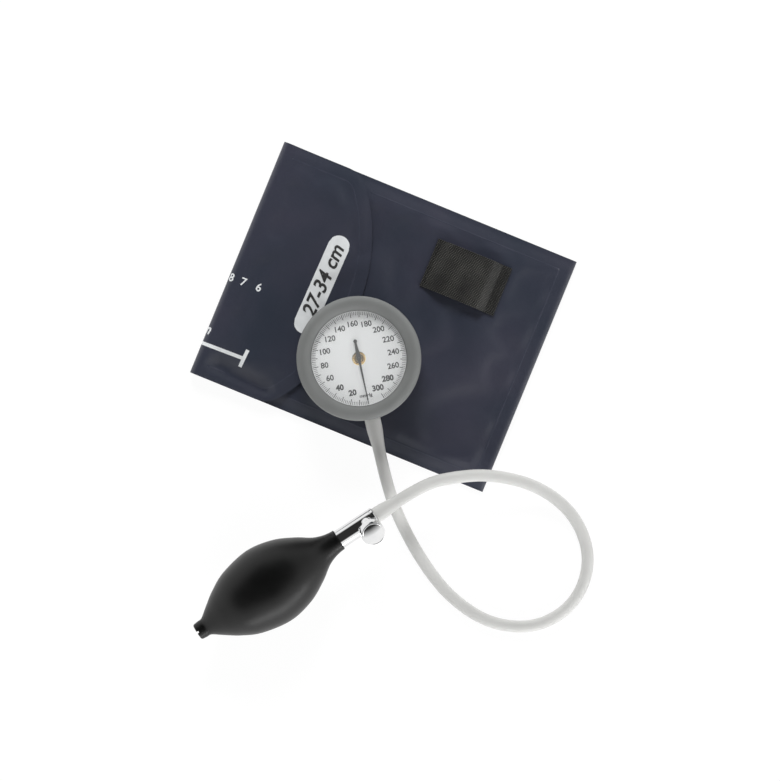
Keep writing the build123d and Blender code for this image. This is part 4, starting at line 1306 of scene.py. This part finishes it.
# %% Dial numbers
NUMBER_R = 19.9
NUMBER_SIZE = 4.4
BOLD_NUMBERS = (20, 40, 280, 300)
BOLD, PLAIN = 0.2, 0.12
UNIT_SIZE = 2.7
UNIT_X, UNIT_Y = -0.6, -21.3
TEXT_TURN = math.radians(-2.1)


def solid_text(body, size, thickness, heavy, slant=0.0):
    """Words made into a thin solid, centred on the origin, in millimetres."""
    bpy.ops.object.select_all(action="DESELECT")
    bpy.ops.object.text_add()
    words = bpy.context.object
    words.data.body = body
    words.data.size = size * MM
    words.data.extrude = thickness / 2 * MM
    words.data.offset = heavy * MM
    words.data.shear = slant
    words.data.resolution_u = 4
    words.data.align_x = "CENTER"
    words.data.align_y = "CENTER"
    bpy.ops.object.convert(target="MESH")
    return bpy.context.object


def level_place(x, y):
    """Where words stand level on the dial, from a place in the gauge's frame."""
    spot = Matrix.Translation((x * MM, y * MM, ink_level * MM))
    return GAUGE @ spot @ Matrix.Rotation(TEXT_TURN, 4, "Z")


numbers = []
for value in range(20, FULL_SCALE + 1, 20):
    angle = scale_angle(value)
    number = solid_text(str(value), NUMBER_SIZE, INK_T, BOLD if value in BOLD_NUMBERS else PLAIN)
    number.matrix_world = level_place(NUMBER_R * math.cos(angle), NUMBER_R * math.sin(angle))
    numbers.append(number)
unit = solid_text("mmHg", UNIT_SIZE, INK_T, heavy=0.08)
unit.matrix_world = level_place(UNIT_X, UNIT_Y)
dial_numbers = join_as([*numbers, unit], "dial_numbers")
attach(dial_numbers, "hand_set")
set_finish(dial_numbers, "hand")
print("dial numbers:", len(numbers))

# %% [markdown]
# The pointer is cut from sheet metal: a thin needle that reaches the marks, and behind the boss a
# broad tail that balances it. A smooth line of half widths shapes a narrow grid, which is then
# given the sheet's thickness.

# %% Pointer
NEEDLE_T = 0.28
THIN = 0.01
NEEDLE = smooth(
    [
        (-11.1, 0.0),
        (-10.9, 0.6),
        (-10.0, 1.1),
        (-9.0, 0.7),
        (-8.4, 0.62),
        (-3.0, 1.15),
        (0.0, 1.3),
        (3.0, 0.66),
        (14.0, 0.44),
        (22.3, 0.28),
        (23.4, 0.5),
        (23.9, 0.3),
        (24.2, 0.0),
    ],
    4,
)
needle_low = foot_of("pointer")
needle = flat_grid(len(NEEDLE) - 1, 4)
for vertex in needle.data.vertices:
    along, half = NEEDLE[round((vertex.co.x + 0.5) * (len(NEEDLE) - 1))]
    vertex.co = Vector((along, vertex.co.y * 2 * max(half, THIN), needle_low)) * MM
modify(needle, "SOLIDIFY", thickness=NEEDLE_T * MM, offset=1)
settle(needle, "pointer_needle", GAUGE @ Matrix.Rotation(scale_angle(0), 4, "Z"), sharp=40)
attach(needle, "pointer")
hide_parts("pointer")
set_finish(needle, "hand")
print("pointer:", len(needle.data.polygons), "faces")

# %% [markdown]
# The cuff's outside carries a little white print. Each mark is a thin film that follows the flap,
# also where the cloth turns down round the left fold. It is shaped flat first, because flat places
# are easy to measure, and then every point is lifted onto the cloth.

# %% Print on the cloth
FILM_LIFT = 0.06
FILM_T = 0.05


def on_flap(x, y, lift):
    """A place on the flap from flat distances: past the fold's start it goes round the fold."""
    if x > LEFT_FOLD_X:
        return Vector((x, y, flap_height(x, y) + lift))
    turn = (LEFT_FOLD_X - x) / LEFT_FOLD_R
    radius = LEFT_FOLD_R + lift
    return Vector(
        (LEFT_FOLD_X - radius * math.sin(turn), y, LEFT_FOLD_R + radius * math.cos(turn))
    )


def drape(piece, place, cuts=0):
    """Lay a flat film on the flap: put it in place, then move each point onto the cloth."""
    select_only(piece)
    piece.matrix_world = place
    bpy.ops.object.transform_apply(location=True, rotation=True, scale=True)
    if cuts:
        bpy.ops.object.mode_set(mode="EDIT")
        bpy.ops.mesh.select_all(action="SELECT")
        bpy.ops.mesh.subdivide(number_cuts=cuts)
        bpy.ops.object.mode_set(mode="OBJECT")
    for vertex in piece.data.vertices:
        x, y, lift = vertex.co / MM
        vertex.co = on_flap(x, y, lift + FILM_LIFT) * MM
    return piece


def at(x, y, turn=0.0):
    """A flat place on the cloth, turned by degrees."""
    return Matrix.Translation((x * MM, y * MM, 0)) @ Matrix.Rotation(math.radians(turn), 4, "Z")


def turn_of(run):
    """The direction of a flat run in degrees."""
    return math.degrees(math.atan2(run.y, run.x))


print("a film on the flap lies at", round(on_flap(PATCH_X, 0, FILM_LIFT).z, 2), "mm")

# %% [markdown]
# A white pill shows the arm size in dark letters. It is a grid whose rows reach out to a half
# circle at each end, and the letters are text made into a thin solid and laid over it.

# %% Pill with the arm size
PILL_HIGH, PILL_LOW = Vector((-39.3, 27.8)), Vector((-40.6, -20.4))
PILL_R = 6.3
SIZE_TEXT = 11.6
SIZE_TEXT_SHIFT = (0.002, 0, 0.00008)
pill_run = PILL_HIGH - PILL_LOW
pill_turn = turn_of(pill_run)
pill = flat_grid(60, 14)
for vertex in pill.data.vertices:
    across = vertex.co.y * 2
    reach = pill_run.length / 2 + PILL_R * math.sqrt(max(0.0, 1 - across * across))
    vertex.co = Vector((vertex.co.x * 2 * reach, across * PILL_R, 0)) * MM
modify(pill, "SOLIDIFY", thickness=FILM_T * MM)
pill_place = at(*((PILL_HIGH + PILL_LOW) / 2), pill_turn)
drape(settle(pill, "print_pill"), pill_place)
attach(pill, "flap")
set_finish(pill, "dial")

size_text = solid_text("27-34 cm", SIZE_TEXT, FILM_T, heavy=0.22, slant=0.25)
size_text.name = size_text.data.name = "print_size"
drape(size_text, pill_place @ Matrix.Translation(SIZE_TEXT_SHIFT), cuts=1)
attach(size_text, "flap")
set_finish(size_text, "hand")
print("pill", round(pill_run.length + 2 * PILL_R), "mm long, turned", round(pill_turn), "degrees")

# %% [markdown]
# The range line and its end bar are narrow grids, and the unit and the numbers are text. They
# cross the left fold, and each is laid round it.

# %% Range line and index numbers
WHITE_BARS = [
    ((-93.0, -53.6), (-65.6, -52.9), 2.1),
    ((-65.1, -47.4), (-65.8, -58.2), 2.1),
]
WHITE_WORDS = [
    ("cm", 8.6, (-94.6, -45.0), 0.18, 0.2),
    ("8", 6.6, (-89.9, -12.4), 0.12, 0.0),
    ("7", 6.6, (-82.4, -12.2), 0.12, 0.0),
    ("6", 6.6, (-73.0, -11.8), 0.12, 0.0),
]
films = []
for start, stop, width in WHITE_BARS:
    run = Vector(stop) - Vector(start)
    bar = flat_grid(24, 2)
    for vertex in bar.data.vertices:
        vertex.co = Vector((vertex.co.x * run.length, vertex.co.y * width, 0)) * MM
    modify(bar, "SOLIDIFY", thickness=FILM_T * MM)
    middle = (Vector(start) + Vector(stop)) / 2
    films.append(drape(bar, at(*middle, turn_of(run))))
for word, size, middle, heavy, slant in WHITE_WORDS:
    films.append(drape(solid_text(word, size, FILM_T, heavy, slant), at(*middle), cuts=1))
print_marks = join_as(films, "print_marks")
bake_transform(print_marks)
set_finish(print_marks, "dial")
print("white print:", len(WHITE_BARS), "bars and", len(WHITE_WORDS), "words")

# %% [markdown]
# A weave is two sets of ridges multiplied, and the table asks for the larger of two numbers. Both
# are sums done by nodes, so one helper adds such a node and hands on its result.

# %% Sums in a node tree


def work_out(tree, operation, first, second):
    """The result of a math node between an output and another output or a number."""
    made = tree.nodes.new("ShaderNodeMath")
    made.operation = operation
    tree.links.new(first, made.inputs[0])
    if isinstance(second, float):
        made.inputs[1].default_value = second
    else:
        tree.links.new(second, made.inputs[1])
    return made.outputs[0]


print("sums ready")

# %% [markdown]
# Last come the finishes. Every material is built from the same few steps: a colour that varies
# softly over the surface, a roughness that varies too, and a fine bump for the weave or grain.
# Patterns read the piece's own coordinates, or a cloth's UV map, both in metres, so a scale of a
# thousand is one millimetre.

# %% Material tools
WAVE_LENGTH = 0.314


class Finish:
    """A material under construction, with the node steps that the finishes share."""

    def __init__(self, name, colour, roughness, metallic=0.0):
        self.material = bpy.data.materials.new(name)
        self.material.use_nodes = True
        self.tree = self.material.node_tree
        self.shader = self.tree.nodes["Principled BSDF"]
        self.shader.inputs["Base Color"].default_value = (*colour, 1)
        self.shader.inputs["Roughness"].default_value = roughness
        self.shader.inputs["Metallic"].default_value = metallic
        self.places = self.tree.nodes.new("ShaderNodeTexCoord")
        self.height = None

    def node(self, kind, **inputs):
        """Add a node and set some of its inputs."""
        made = self.tree.nodes.new(kind)
        for key, value in inputs.items():
            made.inputs[key].default_value = value
        return made

    def link(self, start, stop):
        """Lead an output to an input."""
        self.tree.links.new(start, stop)

    def noise(self, size_mm, detail=2.0):
        """Soft random spots of about a size."""
        made = self.node("ShaderNodeTexNoise", Scale=1 / (size_mm * MM), Detail=detail)
        self.link(self.places.outputs["Object"], made.inputs["Vector"])
        return made.outputs["Fac"]

    def bands(self, pitch_mm, direction, source="Object"):
        """Even ridges a pitch apart along X, Y, Z or a diagonal."""
        made = self.node("ShaderNodeTexWave", Scale=WAVE_LENGTH / (pitch_mm * MM))
        made.bands_direction = direction
        self.link(self.places.outputs[source], made.inputs["Vector"])
        return made.outputs["Fac"]

    def product(self, first, second):
        """One pattern where another is strong."""
        return work_out(self.tree, "MULTIPLY", first, second)

    def tint(self, pattern, dark, light, low=0.3, high=0.7):
        """Colour from a pattern, between two tints."""
        ramp = self.node("ShaderNodeValToRGB")
        ramp.color_ramp.elements[0].position = low
        ramp.color_ramp.elements[1].position = high
        ramp.color_ramp.elements[0].color = (*dark, 1)
        ramp.color_ramp.elements[1].color = (*light, 1)
        self.link(pattern, ramp.inputs["Fac"])
        self.link(ramp.outputs["Color"], self.shader.inputs["Base Color"])

    def gloss(self, pattern, low, high):
        """Roughness from a pattern, between two values."""
        spread = self.node("ShaderNodeMapRange")
        spread.inputs["To Min"].default_value = low
        spread.inputs["To Max"].default_value = high
        self.link(pattern, spread.inputs["Value"])
        self.link(spread.outputs["Result"], self.shader.inputs["Roughness"])

    def bump(self, pattern, depth_mm, strength=1.0):
        """Fine relief from a pattern, laid over any relief that is there already."""
        made = self.node("ShaderNodeBump", Strength=strength, Distance=depth_mm * MM)
        self.link(pattern, made.inputs["Height"])
        if self.height:
            self.link(self.height, made.inputs["Normal"])
        self.height = made.outputs["Normal"]
        self.link(self.height, self.shader.inputs["Normal"])


def grey(level):
    """A plain grey."""
    return (level, level, level)


print("material tools ready")

# %% [markdown]
# Cloth finishes. The cuff's nylon is a tight plain weave under a satin coating: two sets of fine
# ridges cross, and the coating leaves soft lighter and darker areas. The webbing is a fine twill,
# short slanting dashes in shifted rows, which a diagonal wave gives when it is cut by rows. The
# dashes are coloured much lighter than the black webbing: a painted sheen on the twill's ridges,
# stronger in soft random patches. The welds are a little lighter than the nylon: a painted
# highlight along their raised lines. The lining and the chamber's film are plainer.

# %% Cloth finishes
nylon = Finish("navy_nylon", (0.031, 0.035, 0.053), 0.5)
weave = nylon.product(nylon.bands(0.5, "X", "UV"), nylon.bands(0.5, "Y", "UV"))
nylon.tint(nylon.noise(46.0, 2.0), (0.025, 0.031, 0.047), (0.039, 0.04, 0.06))
nylon.gloss(nylon.noise(9.0), 0.42, 0.56)
nylon.bump(nylon.noise(18.0, 3.0), 1.0, 0.6)
nylon.bump(nylon.noise(6.0, 3.0), 0.25, 0.4)
nylon.bump(weave, 0.05, 0.5)
nylon.shader.inputs["Sheen Weight"].default_value = 0.1
nylon.shader.inputs["Sheen Roughness"].default_value = 0.4

# The welds are a little lighter than the nylon: a painted highlight along their raised lines.
weld = Finish("navy_weld", (0.041, 0.045, 0.066), 0.42)
weld.tint(weld.noise(9.0), (0.03, 0.035, 0.053), (0.043, 0.046, 0.067))
weld.bump(weld.noise(0.8), 0.05, 0.5)

film_finish = Finish("chamber_film", (0.03, 0.032, 0.042), 0.55)
film_finish.tint(film_finish.noise(20.0), (0.026, 0.028, 0.038), (0.036, 0.038, 0.05))
film_finish.bump(film_finish.noise(3.0, 3.0), 0.2, 0.5)

webbing = Finish("black_webbing", grey(0.02), 0.6)
twill = webbing.product(webbing.bands(0.65, "DIAGONAL", "UV"), webbing.bands(0.9, "Y", "UV"))
# The light dashes are a painted sheen on the twill's ridges, stronger in soft random patches.
twill_ridge_sheen = webbing.product(twill, webbing.noise(13.0, 1.0))
webbing.tint(twill_ridge_sheen, grey(0.003), (0.135, 0.132, 0.118), 0.1, 0.62)
webbing.bump(twill, 0.25, 1.0)
webbing.gloss(webbing.noise(9.0), 0.4, 0.65)
webbing.bump(webbing.noise(0.3), 0.05, 0.5)

thread_finish = Finish("black_thread", grey(0.012), 0.55)
thread_finish.tint(thread_finish.noise(0.6), grey(0.008), grey(0.03))
thread_finish.bump(thread_finish.bands(0.25, "DIAGONAL"), 0.06, 0.6)

loop_pile = Finish("loop_pile", grey(0.02), 0.9)
loop_pile.tint(loop_pile.noise(0.9, 4.0), grey(0.008), grey(0.04))
loop_pile.bump(loop_pile.noise(0.5, 4.0), 0.5, 0.8)

hook_tape = Finish("hook_tape", grey(0.02), 0.55)
hooks = hook_tape.product(hook_tape.bands(1.2, "X"), hook_tape.bands(1.2, "Y"))
hook_tape.tint(hooks, grey(0.008), grey(0.035))
hook_tape.bump(hooks, 0.5, 0.9)
print("cloth finishes ready")

# %% [markdown]
# Rubber and plastic finishes. The bumper's grey rubber is matt with a fine moulded grain. The
# bulb is black with a soft satin sheen, a little dusty. The hose is pale and slightly milky, so
# it scatters some light inside. The moulded port is a satin dark plastic.

# %% Rubber and plastic finishes
bumper_grey = Finish("bumper_grey", (0.168, 0.174, 0.171), 0.62)
bumper_grey.tint(bumper_grey.noise(16.0, 3.0), (0.158, 0.164, 0.161), (0.178, 0.184, 0.181))
bumper_grey.gloss(bumper_grey.noise(4.0), 0.56, 0.68)
bumper_grey.bump(bumper_grey.noise(0.35, 2.0), 0.03, 0.5)

bulb_black = Finish("bulb_black", grey(0.0035), 0.4)
bulb_black.shader.inputs["Specular IOR Level"].default_value = 0.36
bulb_black.tint(bulb_black.noise(24.0, 3.0), grey(0.0015), (0.0035, 0.0036, 0.0035))
bulb_black.gloss(bulb_black.noise(6.0, 3.0), 0.35, 0.43)
bulb_black.bump(bulb_black.noise(0.5, 2.0), 0.02, 0.5)

hose_pale = Finish("hose_pale", (0.6, 0.6, 0.585), 0.42)
hose_pale.tint(hose_pale.noise(30.0, 2.0), (0.575, 0.575, 0.56), (0.625, 0.625, 0.61))
hose_pale.gloss(hose_pale.noise(5.0), 0.36, 0.5)
hose_pale.bump(hose_pale.noise(0.6), 0.02, 0.4)
hose_pale.shader.inputs["Subsurface Weight"].default_value = 0.08
hose_pale.shader.inputs["Subsurface Radius"].default_value = (0.002, 0.002, 0.002)
hose_pale.shader.inputs["Subsurface Scale"].default_value = 1.0

port_plastic = Finish("port_plastic", (0.05, 0.052, 0.06), 0.4)
port_plastic.tint(port_plastic.noise(5.0), (0.044, 0.046, 0.054), (0.058, 0.06, 0.068))
port_plastic.bump(port_plastic.noise(0.4), 0.02, 0.4)

seal_rubber = Finish("seal_rubber", grey(0.02), 0.7)
seal_rubber.tint(seal_rubber.noise(1.5), grey(0.015), grey(0.028))
seal_rubber.bump(seal_rubber.noise(0.2), 0.02, 0.4)
print("rubber and plastic finishes ready")

# %% [markdown]
# Metal finishes. Chrome is a mirror with very faint polishing marks. Brass, bronze and steel are
# duller, with a gloss that changes in small soft spots as handled metal's does, and the eyelet and
# the boss have a brighter brass of their own. All are fully metallic, so that their colour tints
# what they mirror.

# %% Metal finishes
chrome = Finish("chrome", grey(0.82), 0.07, 1.0)
chrome.gloss(chrome.noise(2.5, 3.0), 0.04, 0.11)
chrome.tint(chrome.noise(8.0), (0.78, 0.785, 0.79), (0.86, 0.86, 0.86))
chrome.bump(chrome.noise(0.4), 0.002, 0.3)

brass = Finish("brass", (0.72, 0.5, 0.22), 0.28, 1.0)
brass.tint(brass.noise(3.0, 3.0), (0.62, 0.41, 0.17), (0.8, 0.58, 0.28))
brass.gloss(brass.noise(1.0), 0.2, 0.36)
brass.bump(brass.noise(0.3), 0.01, 0.4)

bright_brass = Finish("bright_brass", (0.9, 0.7, 0.37), 0.13, 1.0)
bright_brass.tint(bright_brass.noise(2.0), (0.86, 0.64, 0.3), (0.93, 0.76, 0.44))
bright_brass.gloss(bright_brass.noise(0.8), 0.09, 0.16)
bright_brass.bump(bright_brass.noise(0.3), 0.003, 0.3)

bronze = Finish("bronze", (0.6, 0.36, 0.2), 0.32, 1.0)
bronze.tint(bronze.noise(3.0), (0.52, 0.3, 0.16), (0.68, 0.43, 0.25))
bronze.bump(bronze.noise(0.3), 0.01, 0.4)

steel = Finish("steel", grey(0.55), 0.25, 1.0)
steel.gloss(steel.noise(0.8), 0.18, 0.34)
steel.bump(steel.noise(0.3), 0.01, 0.3)
print("metal finishes ready")

# %% [markdown]
# Paint, ink and glass finishes. The case and the bezel are black, the dial and its ink are matt
# paint, the cloth's print is a duller white, and the pointer is black lacquer. The lens is clear
# with only a thin gloss, and its low alpha lets the dial show through without bending the light.

# %% Paint, ink and glass finishes
case_paint = Finish("case_paint", (0.035, 0.035, 0.038), 0.4)
case_paint.tint(case_paint.noise(6.0), grey(0.03), grey(0.042))
case_paint.bump(case_paint.noise(0.5), 0.02, 0.5)

bezel_black = Finish("bezel_black", grey(0.1), 0.35, 0.6)
bezel_black.gloss(bezel_black.noise(1.5), 0.28, 0.42)
bezel_black.bump(bezel_black.noise(0.4), 0.01, 0.4)

dial_white = Finish("dial_white", (0.78, 0.79, 0.79), 0.5)
dial_white.tint(dial_white.noise(20.0), (0.765, 0.775, 0.775), (0.8, 0.81, 0.81))
dial_white.bump(dial_white.noise(0.6), 0.01, 0.3)

ink = Finish("ink", (0.035, 0.035, 0.04), 0.5)
ink.tint(ink.noise(1.2), grey(0.028), grey(0.05))
ink.bump(ink.noise(0.3), 0.01, 0.3)

white_print = Finish("white_print", (0.74, 0.76, 0.77), 0.45)
white_print.tint(white_print.noise(4.0, 3.0), (0.7, 0.72, 0.73), (0.78, 0.8, 0.81))
white_print.bump(white_print.noise(0.5), 0.02, 0.4)

hand_black = Finish("hand_black", (0.02, 0.02, 0.022), 0.35)
hand_black.tint(hand_black.noise(1.5), grey(0.016), grey(0.03))
hand_black.bump(hand_black.noise(0.3), 0.005, 0.3)

glass = Finish("clear_glass", (0.95, 0.97, 0.98), 0.03)
glass.shader.inputs["Alpha"].default_value = 0.07
glass.bump(glass.noise(15.0), 0.005, 0.2)
glass.material.surface_render_method = "BLENDED"
print("paint, ink and glass finishes ready")

# %% [markdown]
# The record gives each solid of the model a material slot, and each new piece has named one too.
# A slot has one finish, and a few small pieces have their own instead.

# %% Give every piece its finish
BY_SLOT = {
    "nylon": nylon,
    "lining": film_finish,
    "bladder": film_finish,
    "loop": loop_pile,
    "hook": hook_tape,
    "port": port_plastic,
    "webbing": webbing,
    "brass": brass,
    "case": case_paint,
    "bezel": bezel_black,
    "bumper": bumper_grey,
    "lens": glass,
    "capsule": bronze,
    "steel": steel,
    "dial": dial_white,
    "hand": hand_black,
    "bulb": bulb_black,
    "chrome": chrome,
    "seal": seal_rubber,
    "hose": hose_pale,
}
BY_PIECE = {
    "dial_marks": ink,
    "dial_numbers": ink,
    "print_size": ink,
    "print_pill": white_print,
    "print_marks": white_print,
    "strap_stitches": thread_finish,
    "eyelet_brass": bright_brass,
    "pointer_boss": bright_brass,
    **{piece.name: weld for piece in welds},
}


def dress(piece, finish):
    """Give a whole piece one finish."""
    piece.data.materials.clear()
    piece.data.materials.append(finish.material)


for row in frame["record"]["subparts"]:
    dress(nodes[row["node"]], BY_SLOT[row["material_slot"]])
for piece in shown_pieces():
    if piece.name not in nodes:
        dress(piece, BY_PIECE.get(piece.name) or BY_SLOT[piece["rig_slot"]])

# %% [markdown]
# The photograph is lit by a bright ring low round the table with a dark patch above, so metal
# shows two bright streaks with a dark one between. The world's colour follows the angle from one
# direction: it is white all round, and dark about that direction.

# %% Bright sky with a dark patch
DARK_PATCH = Vector((-0.19, 0.13, 1))
PATCH_EDGE, PATCH_CORE = 0.545, 0.71
world = bpy.data.worlds.new("studio")
bpy.context.scene.world = world
world.use_nodes = True
sky = world.node_tree
around = sky.nodes.new("ShaderNodeTexCoord")
patch = sky.nodes.new("ShaderNodeVectorMath")
patch.operation = "DOT_PRODUCT"
patch.inputs[1].default_value = DARK_PATCH.normalized()
ramp = sky.nodes.new("ShaderNodeValToRGB")
ramp.color_ramp.elements[0].position = PATCH_EDGE
ramp.color_ramp.elements[0].color = (1, 1, 1, 1)
ramp.color_ramp.elements[1].position = PATCH_CORE
ramp.color_ramp.elements[1].color = (0.03, 0.03, 0.03, 1)
sky.links.new(around.outputs["Generated"], patch.inputs[0])
sky.links.new(patch.outputs["Value"], ramp.inputs["Fac"])
sky.links.new(ramp.outputs["Color"], sky.nodes["Background"].inputs["Color"])
sky.nodes["Background"].inputs["Strength"].default_value = 1.0
print("dark patch towards", tuple(round(c, 2) for c in DARK_PATCH.normalized()))

# %% [markdown]
# A soft lamp from the top of the picture lights the shapes, a weaker one from its foot fills their
# shadows, and a long low strip beside the bulb draws the bright band along it. Only the strip is
# seen in shiny surfaces: the others would leave square spots there.

# %% Lamps
BULB_MIDDLE = (0.0, -0.168, 0.02)
LAMPS = [
    ("key", (-0.5, 0.95, 0.85), (0.02, -0.04, 0), (0.5, 0.5), 15.0, False),
    ("front", (0.45, -1.1, 0.5), (0.02, -0.04, 0), (0.7, 0.7), 3.5, False),
    ("low_strip", (0.742, -0.677, 0.2), BULB_MIDDLE, (1.4, 0.22), 4.6, True),
]
for name, place, aim, size, power, mirrored in LAMPS:
    bpy.ops.object.light_add(type="AREA", location=place)
    lamp = bpy.context.object
    lamp.name = name
    lamp.data.shape = "RECTANGLE"
    lamp.data.size, lamp.data.size_y = size
    lamp.data.energy = power
    lamp.rotation_euler = (Vector(aim) - Vector(place)).to_track_quat("-Z", "Y").to_euler()
    lamp.visible_glossy = mirrored
print("lamps:", [lamp[0] for lamp in LAMPS])

# %% [markdown]
# The table is white to the eye and in mirrors, and still takes a soft shadow. Its material mixes a
# glow with a matt white. What the camera sees, or metal and glass show, is nearly all glow. Any
# other light meets the matt white alone, so the glow itself never lights the object.

# %% Table
FLOOR_SHARE = 0.9
FLOOR_GLOW = 1.04
bpy.ops.object.select_all(action="DESELECT")
bpy.ops.mesh.primitive_plane_add(size=6, location=(0, 0, -0.0001))
floor = bpy.context.object
floor.name = "table"
floor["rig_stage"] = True
table = bpy.data.materials.new("table")
table.use_nodes = True
tree = table.node_tree
matt = tree.nodes.new("ShaderNodeBsdfDiffuse")
matt.inputs["Color"].default_value = (0.9, 0.9, 0.9, 1)
glow = tree.nodes.new("ShaderNodeEmission")
glow.inputs["Strength"].default_value = FLOOR_GLOW
path = tree.nodes.new("ShaderNodeLightPath").outputs
bounced = work_out(tree, "MAXIMUM", path["Is Glossy Ray"], path["Is Transmission Ray"])
seen = work_out(tree, "MAXIMUM", path["Is Camera Ray"], bounced)
share = work_out(tree, "MULTIPLY", seen, FLOOR_SHARE)
blend = tree.nodes.new("ShaderNodeMixShader")
tree.links.new(share, blend.inputs["Fac"])
tree.links.new(matt.outputs[0], blend.inputs[1])
tree.links.new(glow.outputs[0], blend.inputs[2])
tree.links.new(blend.outputs[0], tree.nodes["Material Output"].inputs["Surface"])
floor.data.materials.append(table)
print("table:", floor.name)

# %% [markdown]
# The last step prints the box that the dressed pieces fill.

# %% Sizes and finish
low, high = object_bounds()
print("dressed box from", tuple(low), "to", tuple(high))
